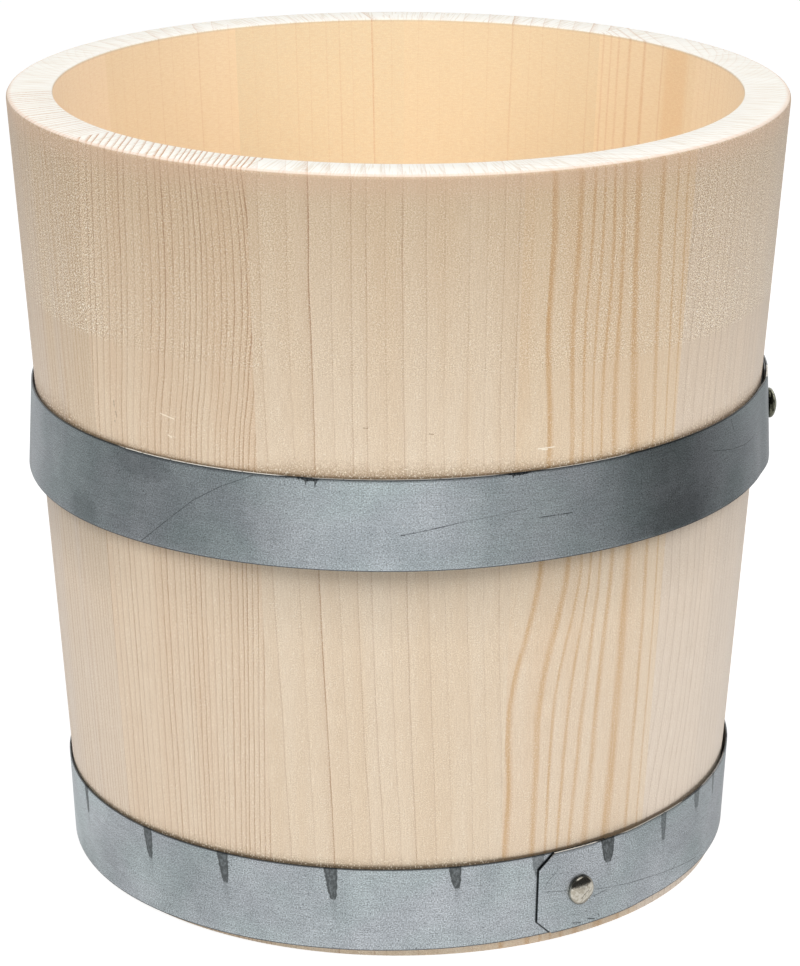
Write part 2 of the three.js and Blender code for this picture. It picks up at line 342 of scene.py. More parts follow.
def face_outwards():
    bpy.ops.mesh.select_all(action="SELECT")
    bpy.ops.mesh.remove_doubles(threshold=0.002 * MM)
    bpy.ops.mesh.normals_make_consistent(inside=False)


def smooth(piece, sharp_over=SHARP_OVER):
    take(piece)
    bpy.ops.object.shade_smooth_by_angle(angle=math.radians(sharp_over))


def cut_out(piece, tool):
    """Takes a closed tool's shape out of a piece, and throws the tool away."""
    take(piece)
    cut = piece.modifiers.new("cut", "BOOLEAN")
    cut.operation = "DIFFERENCE"
    cut.solver = "EXACT"
    cut.object = tool
    bpy.ops.object.modifier_apply(modifier=cut.name)
    discard(tool)


def bar(radius, length, sides, matrix):
    """A round bar along its own Z, in the middle of a place."""
    bpy.ops.mesh.primitive_cylinder_add(vertices=sides, radius=radius, depth=length)
    tool = named("bar")
    tool.data.transform(matrix)
    return tool


def hand_over(piece, finish, slot, *nodes):
    """Gives a finished piece its material and its place in the frame."""
    piece.data.materials.clear()
    piece.data.materials.append(finish)
    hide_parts(*nodes)
    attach(piece, "root")


# Staves

def stave_section():
    """Lengthwise section over +X: leaning wall, groove for the bottom, rounded rim and eased foot."""
    middle = (FOOT_RADIUS - WALL / 2, 0, HEIGHT / 2)
    bpy.ops.mesh.primitive_plane_add(size=1, location=middle, rotation=(math.pi / 2, 0, 0))
    bpy.context.object.scale = (WALL, HEIGHT, 1)
    section = named("stave_section")
    edit(section)
    pick(section, "VERT", lambda place: place.z > HEIGHT / 2)
    bpy.ops.transform.translate(value=(RIM_RADIUS - FOOT_RADIUS, 0, 0))
    groove_top = FLOOR_HEIGHT + GROOVE_CLEARANCE
    groove_foot = FLOOR_HEIGHT - TONGUE_THICKNESS - GROOVE_CLEARANCE
    saw_all((0, 0, groove_top), UP)
    saw_all((0, 0, groove_foot), UP)
    pick(section, "FACE", lambda place: groove_foot < place.z < groove_top)
    saw((groove_radius(), 0, 0), (1, 0, 0))
    waste = lambda place: groove_foot < place.z < groove_top and place.x < groove_radius()
    pick(section, "FACE", waste)
    bpy.ops.mesh.delete(type="FACE")
    for corner, size, steps in [
        ((RIM_RADIUS, HEIGHT), RIM_ROUND, 4),
        ((RIM_RADIUS - WALL, HEIGHT), INNER_EASE, 2),
        ((FOOT_RADIUS, 0), FOOT_EASE, 2),
        ((FOOT_RADIUS - WALL, 0), FOOT_EASE, 2),
    ]:
        spot = Vector((corner[0], 0, corner[1]))
        pick(section, "VERT", lambda place: (place - spot).length < FOOT_EASE / 3)
        bpy.ops.mesh.bevel(offset=size, segments=steps, affect="VERTICES")
    leave()
    return section


def turned_stave(section, name, start, end):
    """Turns the section about the bucket's axis from one joint to the next."""
    stave = copied(section, name)
    stave.data.transform(Matrix.Rotation(math.radians(start - 90), 4, "Z"))
    edit(stave)
    steps = math.ceil((end - start) / STAVE_STEP)
    bpy.ops.mesh.spin(steps=steps, angle=-math.radians(end - start), center=(0, 0, 0), axis=UP)
    face_outwards()
    leave()
    return stave


def rivet_matrix(hoop):
    """The rivet's own frame: Z along its axis, Y up the strip, origin on the inner layer's inner face."""
    angle = hoop.rivet_angle
    along = (on_hoop(hoop, angle, STRIP_WIDTH, 1) - on_hoop(hoop, angle, 0, 1)).normalized()
    aside = Vector((-outwards(angle).y, outwards(angle).x, 0))
    turn = Matrix((aside, along, aside.cross(along))).transposed().to_4x4()
    return Matrix.Translation(on_hoop(hoop, angle, STRIP_WIDTH / 2, 0)) @ turn


def pocket_tool(hoop):
    """The dent behind a rivet's tail."""
    foot = RIVET_TAIL_GAP + RIVET_TAIL_HEIGHT + POCKET_CLEARANCE
    shift = Matrix.Translation((0, 0, -foot / 2))
    return bar(RIVET_TAIL_RADIUS + POCKET_CLEARANCE, foot, RIVET_SIDES, rivet_matrix(hoop) @ shift)


# Bottom

def bottom_disc():
    """The round bottom before it is sawn into boards: tongue at its rim, bevelled under it."""
    tongue_foot = FLOOR_HEIGHT - TONGUE_THICKNESS
    tongue_radius = groove_radius() - GROOVE_CLEARANCE
    lip = inner_radius(tongue_foot) - GROOVE_CLEARANCE
    bpy.ops.mesh.primitive_circle_add(
        vertices=DISC_SIDES, radius=tongue_radius, fill_type="NGON", location=(0, 0, FLOOR_HEIGHT)
    )
    disc = named("bottom_disc")
    edit(disc)
    bpy.ops.mesh.extrude_region_move(TRANSFORM_OT_translate={"value": (0, 0, -TONGUE_THICKNESS)})
    bpy.ops.mesh.inset(thickness=tongue_radius - lip)
    drop = BOTTOM_THICKNESS - TONGUE_THICKNESS
    bpy.ops.mesh.extrude_region_move(TRANSFORM_OT_translate={"value": (0, 0, -drop)})
    narrower = (lip - BOTTOM_BEVEL) / lip
    bpy.ops.transform.resize(value=(narrower, narrower, 1))
    face_outwards()
    leave()
    return disc


def dowel_tools():
    """A bar for each dowel hole, across the joints between the boards."""
    reach = groove_radius()
    height = FLOOR_HEIGHT - BOTTOM_THICKNESS / 2
    lying = Matrix.Rotation(math.pi / 2, 4, "X")
    tools = []
    for share in BOARD_JOINT_SHARES:
        half_joint = reach * math.sqrt(1 - share**2)
        for side in (-1, 1):
            place = Matrix.Translation((side * DOWEL_PLACE_SHARE * half_joint, share * reach, height))
            tools.append(bar(DOWEL_HOLE_RADIUS, DOWEL_HOLE_LENGTH, DOWEL_SIDES, place @ lying))
    return tools


def sawn_board(disc, name, front, back):
    """One board of the bottom, with its joints eased and its dowel holes bored."""
    board = copied(disc, name)
    edit(board)
    saw_all((0, front + BOARD_GAP / 2, 0), (0, 1, 0), use_fill=True, clear_inner=True)
    saw_all((0, back - BOARD_GAP / 2, 0), (0, 1, 0), use_fill=True, clear_outer=True)
    sides = (front + BOARD_GAP / 2, back - BOARD_GAP / 2)
    at_joint = lambda place: min(abs(place.y - side) for side in sides) < BOARD_GAP / 4
    pick(board, "EDGE", lambda place: place.z > FLOOR_HEIGHT - BOARD_GAP and at_joint(place))
    bpy.ops.mesh.bevel(offset=BOARD_EASE, segments=3, affect="EDGES")
    face_outwards()
    leave()
    for tool in dowel_tools():
        cut_out(board, tool)
    return board


# Hoops

def flat_strip(hoop, name):
    """The hoop before bending: X along it from its visible end, Y up, Z outwards."""
    length = hoop_length(hoop)
    bpy.ops.mesh.primitive_grid_add(
        x_subdivisions=round(length / STRIP_CELL),
        y_subdivisions=round(STRIP_WIDTH / STRIP_CELL),
        size=1,
        location=(length / 2, STRIP_WIDTH / 2, 0),
    )
    bpy.context.object.scale = (length, STRIP_WIDTH, 1)
    strip = named(name)
    edit(strip)
    for end, along in ((0, 1), (length, -1)):
        for side, across in ((0, 1), (STRIP_WIDTH, -1)):
            corner = (end + along * CORNER_CUT, side, 0)
            saw_all(corner, (-along, -across, 0), clear_outer=True)
    leave()
    take(strip)
    thick = strip.modifiers.new("thickness", "SOLIDIFY")
    thick.thickness = STRIP_THICKNESS
    thick.offset = 1
    bpy.ops.object.modifier_apply(modifier=thick.name)
    eased = strip.modifiers.new("eased_edges", "BEVEL")
    eased.width = STRIP_EDGE
    eased.segments = 2
    eased.limit_method = "ANGLE"
    eased.angle_limit = math.radians(STRIP_SHARP_OVER)
    bpy.ops.object.modifier_apply(modifier=eased.name)
    for along in (LAP_OUTER_REACH, length - LAP_INNER_REACH):
        place = Matrix.Translation((along, STRIP_WIDTH / 2, 0))
        cut_out(strip, bar(SHANK_RADIUS + RIVET_CLEARANCE, 8 * STRIP_THICKNESS, RIVET_SIDES, place))
    return strip


def strip_map(strip, hoop):
    """Writes where each place lies on the flat strip, for its finish: a map, and the nearest mark."""
    marks = [(along_strip(hoop, mark[0]), mark[1] * MM, mark[2] * MM, mark[3]) for mark in hoop.marks]
    nearest = strip.data.attributes.new("nearest_mark", "FLOAT_COLOR", "POINT")
    for index, vertex in enumerate(strip.data.vertices):
        along, half, reach, darkness = min(marks, key=lambda mark: abs(mark[0] - vertex.co.x))
        off = (vertex.co.x - along) * hoop.runs
        if abs(off) > half + MARK_MARGIN:
            darkness = 0
        shifted = min(max(off, -MARK_SHIFT), MARK_SHIFT) + MARK_SHIFT
        nearest.data[index].color = (shifted / MM, half / MM, reach / MM, darkness)
    for layer in list(strip.data.uv_layers):
        strip.data.uv_layers.remove(layer)
    flat = strip.data.uv_layers.new(name="flat_strip")
    for loop in strip.data.loops:
        place = strip.data.vertices[loop.vertex_index].co
        flat.data[loop.index].uv = (place.x, place.y)


def ripple(hoop, angle, up):
    """Soft unevenness of a hand-bent strip, never towards the wood by more than its gap leaves."""
    turn = math.radians(angle)
    swell = sum(
        share * math.sin(waves * turn + phase + twist * up / STRIP_WIDTH)
        for waves, phase, twist, share in RIPPLES
    )
    return hoop.wave * (1 + RIPPLE_SHARE * swell)


def rolled(strip, hoop):
    """Bends the flat strip round the staves."""
    length = hoop_length(hoop)
    lap_end = hoop_degrees(hoop, LAP_OUTER_REACH + LAP_INNER_REACH)
    joggle = hoop_degrees(hoop, LAP_JOGGLE)
    begin = strip_begin(hoop)
    for vertex in strip.data.vertices:
        along, up, out = vertex.co
        run = along / length * (FULL_TURN + lap_end)
        ease = (lap_end + joggle - run) / (joggle - JOGGLE_EASE)
        ease = min(max(ease, 0), 1)
        layer = ease * ease * (3 - 2 * ease)
        angle = begin + hoop.runs * run
        lift = ripple(hoop, angle, up) * min(max((run - lap_end) / joggle, 0), 1)
        lift *= min(max((FULL_TURN - run) / joggle, 0), 1)
        vertex.co = on_hoop(hoop, angle, up, layer, out + lift)
    if hoop.runs < 0:
        edit(strip)
        bpy.ops.mesh.flip_normals()
        leave()


def hoop_strip(hoop, name):
    strip = flat_strip(hoop, name)
    strip_map(strip, hoop)
    rolled(strip, hoop)
    smooth(strip, STRIP_SHARP_OVER)
    return strip


# Rivets

def raise_ring(rise, widen):
    """Pulls the selected face along the axis and widens or narrows it."""
    bpy.ops.mesh.extrude_region_move(TRANSFORM_OT_translate={"value": (0, 0, rise)})
    if widen != 1:
        bpy.ops.transform.resize(value=(widen, widen, 1))


def rivet(hoop, name):
    """Tail, shank and low domed head with a hammered flat, drawn up ring by ring."""
    foot = -(RIVET_TAIL_GAP + RIVET_TAIL_HEIGHT)
    bpy.ops.mesh.primitive_circle_add(
        vertices=RIVET_SIDES, radius=RIVET_TAIL_RADIUS, fill_type="NGON", location=(0, 0, foot)
    )
    piece = named(name)
    edit(piece)
    raise_ring(RIVET_TAIL_HEIGHT, 1)
    raise_ring(0, SHANK_RADIUS / RIVET_TAIL_RADIUS)
    head_foot = 2 * STRIP_THICKNESS + LAP_GAP + RIVET_CLEARANCE
    raise_ring(RIVET_TAIL_GAP + head_foot, 1)
    raise_ring(0, RIVET_HEAD_RADIUS * HEAD_FOOT_SHARE / SHANK_RADIUS)
    raise_ring(RIVET_FLANGE / 2, 1 / HEAD_FOOT_SHARE)
    raise_ring(RIVET_FLANGE / 2, 1)
    rise = RIVET_HEAD_HEIGHT - RIVET_FLANGE
    last_height, last_radius = 0, 1
    for step in range(1, DOME_STEPS + 1):
        turn = math.pi / 2 * step / (DOME_STEPS + DOME_LEFT_OPEN)
        height, radius = rise * math.sin(turn), math.cos(turn) ** DOME_FULLNESS
        raise_ring(height - last_height, radius / last_radius)
        last_height, last_radius = height, radius
    top = head_foot + RIVET_HEAD_HEIGHT - HAMMERED_OFF
    saw_all((0, 0, top), HAMMERED_FLAT.normalized(), use_fill=True, clear_outer=True)
    face_outwards()
    quarter = RIVET_FLANGE / 4
    rim = RIVET_HEAD_RADIUS * HEAD_RIM_SHARE
    under_head = lambda place: abs(place.z - head_foot) < quarter and place.xy.length > rim
    for of_head in (lambda place: place.z > head_foot + quarter, under_head):
        pick(piece, "VERT", of_head)
        bpy.ops.transform.resize(value=(hoop.head_wide, 1, 1), center_override=(0, 0, 0))
        bpy.ops.transform.translate(value=(*hoop.head_shift, 0))
    leave()
    from_axis = piece.data.attributes.new("from_axis", "FLOAT", "POINT")
    for index, vertex in enumerate(piece.data.vertices):
        from_axis.data[index].value = math.hypot(vertex.co.x, vertex.co.y) / RIVET_HEAD_RADIUS
    piece.data.transform(rivet_matrix(hoop))
    smooth(piece, RIVET_SHARP_OVER)
    return piece


# Finishes

# Colours as they look on a screen
FIBRE_SHADE = (172, 142, 112)
# Raised fibres: pits darkened by painted shade, pale fibres and tips lightened by painted glints
FIBRE_PIT_SHADE = (172, 144, 116)
FIBRE_PALE_AND_GLINT = (253, 243, 220)
FIBRE_TIP_AND_GLINT = (255, 252, 244)
PALER_WOOD = (234, 221, 207)
END_WOOD = (246, 243, 235)
END_RAY = (222, 208, 186)
END_RING = (198, 152, 110)
# Pinker, darker band below the rim: painted shade of its rounded outer edge
PINK_RIM_SHADE = (206, 174, 148)
# Torn fibres over the rim's outer edge, deepened by painted shade of the rounding
TURNED_OVER_WOOD_AND_SHADE = (232, 204, 182)
INNER_BAND = (238, 194, 142)
INNER_RING = (216, 158, 108)
CUTTER_SHADE = (228, 188, 138)
CUTTER_GLEAM = (255, 236, 196)
GRIME_AND_SHADE_AT_HOOP = (94, 74, 46)
CRUMB = (244, 232, 210)
SCRATCH = (46, 50, 54)
LAP_PAINTED_SHADOW = (34, 36, 38)
UNDER_GLINT = (100, 104, 108)
SHEARED_EDGE = (74, 78, 82)
# Painted glint on the hoop's upper edge
PAINTED_EDGE_GLINT = (250, 248, 242)
RIVET_GRIME_AND_SHADE = (58, 56, 50)


def grey(level):
    return (level, level, level, 1)


def tone(shade):
    """A colour given as it looks on a screen, 0 to 255."""
    parts = [value / 255 for value in shade]
    return tuple(s / 12.92 if s <= 0.04045 else ((s + 0.055) / 1.055) ** 2.4 for s in parts) + (1,)


def reckoning(operation):
    """A way to reckon with values, by a math node."""
    def step(value, *others):
        return value.paint.math(operation, value, *others)
    return step


class Value:
    """What a node gives. It is reckoned with as a number is, and each step adds a node."""

    __add__ = __radd__ = reckoning("ADD")
    __mul__ = __rmul__ = reckoning("MULTIPLY")
    __sub__ = reckoning("SUBTRACT")
    __truediv__ = reckoning("DIVIDE")
    __pow__ = reckoning("POWER")
    __abs__ = reckoning("ABSOLUTE")
    larger = reckoning("MAXIMUM")
    smaller = reckoning("MINIMUM")
    fraction = reckoning("FRACT")

    def __init__(self, paint, socket):
        self.paint = paint
        self.socket = socket

    def __rsub__(self, other):
        return self.paint.math("SUBTRACT", other, self)

    def between(self, low, high, to_low=0.0, to_high=1.0, kind="SMOOTHSTEP"):
        """Goes from to_low to to_high while the value goes from low to high."""
        limits = (self, low, high, to_low, to_high)
        return self.paint.made("MapRange", *limits, interpolation_type=kind, clamp=True)

    def share(self, low, high, to_low=0.0, to_high=1.0):
        """The same, in a straight line."""
        return self.between(low, high, to_low, to_high, "LINEAR")

    def curve(self, points, bend="VECTOR"):
        """A line through points of 0 to 1, broken or smooth (AUTO)."""
        given = self.paint.made("FloatCurve", None, self)
        mapping = given.socket.node.mapping
        line = mapping.curves[0].points
        while len(line) < len(points):
            line.new(0.5, 0.5)
        for point, place in zip(line, points):
            point.location = place
            point.handle_type = bend
        mapping.update()
        return given

    def coated(self, amount, shade):
        """This colour with some of another over it."""
        return self.paint.blend(amount, self, tone(shade))


class Finish:
    """The nodes of a material or a world, built up step by step."""

    def __init__(self, owner):
        owner.use_nodes = True
        self.owner = owner
        self.nodes = owner.node_tree.nodes

    def feed(self, socket, value):
        if isinstance(value, Value):
            self.owner.node_tree.links.new(value.socket, socket)
        elif value is not None:
            socket.default_value = value

    def made(self, kind, *inputs, output=0, **settings):
        """Adds a node, feeds its inputs in their order and gives one output."""
        node = self.nodes.new("ShaderNode" + kind)
        for key, value in settings.items():
            setattr(node, key, value)
        for socket, value in zip(node.inputs, inputs):
            self.feed(socket, value)
        return Value(self, node.outputs[output])

    def math(self, operation, *values, clamp=False):
        return self.made("Math", *values, operation=operation, use_clamp=clamp)

    def vector(self, *values):
        return self.made("CombineXYZ", *values)

    def split(self, vector):
        parts = self.made("SeparateXYZ", vector).socket.node.outputs
        return [Value(self, socket) for socket in parts]

    def vectors(self, operation, *values, output=0):
        return self.made("VectorMath", *values, operation=operation, output=output)

    def away_from(self, place, points):
        """Distance of a place from a broken line through points on the same sheet."""
        nearest = None
        for start, end in zip(points, points[1:]):
            step = (end[0] - start[0], end[1] - start[1], 0)
            length = math.hypot(*step)
            along = tuple(part / length for part in step)
            from_start = self.vectors("SUBTRACT", place, (*start, 0))
            share = self.vectors("DOT_PRODUCT", from_start, along, output="Value").share(0, length)
            foot = self.vectors("SCALE", step, None, None, share)
            off = self.vectors("DISTANCE", from_start, foot, output="Value")
            nearest = off if nearest is None else nearest.smaller(off)
        return nearest

    def noise(self, place, detail=2.0, rough=0.5, scale=1.0):
        vector = self.vector(*place) if isinstance(place, tuple) else place
        return self.made("TexNoise", vector, None, scale, detail, rough)

    def blend(self, factor, first, second, kind="MIX"):
        inputs = (factor, *[None] * 5, first, second)
        return self.made("Mix", *inputs, output=2, data_type="RGBA", blend_type=kind)

    def bump(self, height, strength, depth, below=None):
        return self.made("Bump", strength, depth, None, height, below)

    def place_in_mm(self, turned_back=0.0):
        """Object coordinates in millimetres, turned so that an angle round the bucket faces the front."""
        here = self.made("TexCoord", output="Object")
        turn = (0, 0, -math.radians(turned_back))
        return self.made("Mapping", here, None, turn, (1 / MM, 1 / MM, 1 / MM))

    def done(self, **inputs):
        """Feeds the surface shader, whose inputs are named in small letters, and gives the material."""
        for socket in self.nodes["Principled BSDF"].inputs:
            self.feed(socket, inputs.get(socket.name.lower().replace(" ", "_")))
        return self.owner


def new_finish(name):
    return Finish(bpy.data.materials.new(name))


@dataclass
class Grain:
    """Growth rings of a stave. Lines are places in degrees, widths in mm and strengths."""

    lines: list
    lean: tuple = (0.0, 0.0)
    seen_from_inside: bool = False
    sways: tuple = ()
    pale: tuple = (229, 209, 183)
    warm: tuple = (224, 199, 169)
    line_tone: tuple = (176, 134, 92)
    rim_lines: float = 0.6
    fade: float = 0.0
    paler_below: float = 0.0
    nicks: tuple = ()
    bands: tuple = ()
    soft_rings: bool = False
    # Colour of the inside wall, paler and warmer partly as painted bounce light
    inside: tuple = (241, 220, 184)
    seed: int = 0


def close_rings(start, end, first_gap, last_gap, width, strength, seed):
    """Lines whose gaps change evenly along the stave, a little uneven as rings are."""
    draw = random.Random(seed)
    place, lines = start, []
    while place < end:
        share = (place - start) / (end - start)
        gap = first_gap + (last_gap - first_gap) * share
        place += gap * draw.uniform(0.75, 1.25)
        lines.append((place, width * draw.uniform(0.8, 1.25), strength * draw.uniform(0.55, 1.45)))
    return lines


def widened(lines, low, high):
    """Carries the rings on past the stave's own lines, as the slope of the rings needs inside the wood."""
    lines = sorted(lines)
    gap_below = max(lines[1][0] - lines[0][0], 0.8)
    gap_above = max(lines[-1][0] - lines[-2][0], 0.8)
    while lines[0][0] > low:
        lines.insert(0, (lines[0][0] - gap_below, *lines[0][1:]))
    while lines[-1][0] < high:
        lines.append((lines[-1][0] + gap_above, *lines[-1][1:]))
    return lines


SWAY_SPAN = 10.0
RING_WANDER = 0.7
RING_SHAKE = 0.16
LEAST_FUZZ = 0.26
# How far down the wall, in mm, the painted shadow of the upper hoop reaches
SHADE_UNDER_HOOP_REACH = 24
# Tables round the bucket start here and go on for so many degrees
ROUND_START = -90
ROUND_SPAN = 370
# How thick the raised fibres are above the upper hoop, round the bucket: angle, strength
RAISED_FIBRES = [
    (-90, 0.22), (-76, 0.35), (-66, 0.65), (-58, 0.85), (-47.3, 0.78), (-46, 0.42), (-40, 0.28),
    (-20, 0.22), (-12, 0.08), (16, 0.1), (30, 0.3), (43, 0.4), (48, 0.8), (76, 0.75), (100, 0.4), (130, 0.3),
    (160, 0.5), (200, 0.2), (240, 0.5), (280, 0.4),
]
# Painted shade that darkens the outer wall towards the rim
RIM_PAINTED_SHADE = (0.77, 0.72, 0.655, 1)
# Painted shadow of the upper hoop, with some dirt, on the wall below it
UNDER_HOOP_SHADE_AND_DIRT = (0.74, 0.76, 0.78, 1)
# How far that painted shadow and dirt goes round the bucket: angle, share
UNDER_HOOP_SHADE_SHARES = [
    (-90, 1.0), (-68, 1.0), (-52, 0.8), (-42, 0.25), (-28, 0.4), (-14, 0.65), (2, 0.65), (14, 0.6),
    (26, 0.8), (44, 0.75), (60, 0.5), (280, 0.5),
]
WALL_MM = WALL / MM
HEIGHT_MM = HEIGHT / MM
MM_PER_DEGREE = RIM_RADIUS / MM * math.radians(1)

# Where each face or band of a stave begins and is whole: depth into the wall, or height
OUTER_FACE = (1.0, 0.3)
INNER_FACE = (WALL_MM - 0.6, WALL_MM - 0.15)
RIM_FACE = (HEIGHT_MM - 0.6, HEIGHT_MM - 0.2)
BELOW_RIM_FACE = (HEIGHT_MM - 0.05, HEIGHT_MM - 1.1)
PINK_RIM_SHADE_BAND = (HEIGHT_MM - 9, HEIGHT_MM - 1.0)
ROUGH_BAND = (0.755 * HEIGHT_MM, 0.765 * HEIGHT_MM)
RIM_SHADE_BAND = (0.66 * HEIGHT_MM, HEIGHT_MM)
LOWER_HALF = (0.62 * HEIGHT_MM, 0.25 * HEIGHT_MM)


def round_curve(turn_share, table, unit=1):
    points = [((angle - ROUND_START) / ROUND_SPAN, value / unit) for angle, value in table]
    return turn_share.curve(points)


def unswayed(angle, height_share, sways, centre):
    """Undoes the sway of the rings up the stave: each place gets the angle that its ring has at the rim."""
    places, now = [], []
    for place, points in sways:
        places.append(place - centre)
        scaled = [(height, 0.5 + sway / SWAY_SPAN) for height, sway in points]
        now.append((height_share.curve(scaled, "AUTO") - 0.5) * SWAY_SPAN + places[-1])
    ring = (angle - now[0]).smaller(0) + places[0]
    for k in range(len(places) - 1):
        ring = ring + angle.share(now[k], now[k + 1], 0, places[k + 1] - places[k])
    return ring + (angle - now[-1]).larger(0)


def ring_lines(paint, grain, ring, start, end, reference):
    """Where a place lies within its growth ring, how strong that ring is, and its dark line."""
    centre = (start + end) / 2
    reach = max(abs(value) * WALL_MM for value in grain.lean) + 3
    low, high = start - reach, end + reach
    lines = widened(grain.lines, low - 1, high + 1)
    count = len(lines) - 1
    scaled = ring.share(low - centre, high - centre)
    places = [(line[0] - low) / (high - low) for line in lines]
    inside = [k for k, place in enumerate(places) if 0 <= place <= 1]
    phase = scaled.curve([(places[k], k / count) for k in inside])
    shares, strengths = [], []
    mm_per_degree = math.radians(1) * (RIM_RADIUS - reference * MM) / MM
    for k in inside:
        place, width, strength = lines[k]
        gap = (place - lines[max(k - 1, 0)][0]) * mm_per_degree
        shares.append((places[k], min(width / max(gap, 0.5), 0.9)))
        strengths.append((places[k], min(strength, 1)))
    part = (phase * count).fraction()
    line_share = scaled.curve(shares)
    strength = scaled.curve(strengths)
    line = paint.math("DIVIDE", part - (1 - line_share), line_share, clamp=True)
    line = (1 - abs(line * 2 - 1)).between(0, 0.9) if grain.soft_rings else line ** 1.4
    return part, strength, line


def stained_and_shaded(wood, hoop, place, turn_share, noises):
    """Grime and rubbed-off zinc with painted contact shade, and crumbs, on the wood just above a hoop."""
    z, aside, outside = place
    smudge, gritty, dots = noises
    deepest, stain_and_shade, line_reach, line_depth = hoop.stain_and_shade_look
    above = z - (aside * (hoop.dip / MM) + (hoop.height + STRIP_WIDTH) / MM)
    over = above.between(-4.0, -0.5) * outside
    reach = round_curve(turn_share, hoop.stain_and_shade, 10) * 10
    ragged_reach = reach * smudge.share(0.3, 0.7, 0.55, 1.45)
    near = above.share(ragged_reach, -0.4) ** 1.6
    # Stain with painted contact shade, fading up from the hoop
    wood = wood.coated(near * over * gritty * deepest, stain_and_shade)
    fringe = above + (smudge - 0.5) * 1.4
    touching = fringe.between(reach.between(0.5, 3.0, 0.4, 1.0) * line_reach, 0.1, 0, line_depth)
    # Grime and painted contact shade in a line along the hoop
    wood = wood.coated(touching * over, GRIME_AND_SHADE_AT_HOOP)
    among = above.between(reach + 0.4, 0.4) * reach.between(1.0, 2.5)
    return wood.coated(dots.between(0.62, 0.68) * among * over * 0.75, CRUMB)


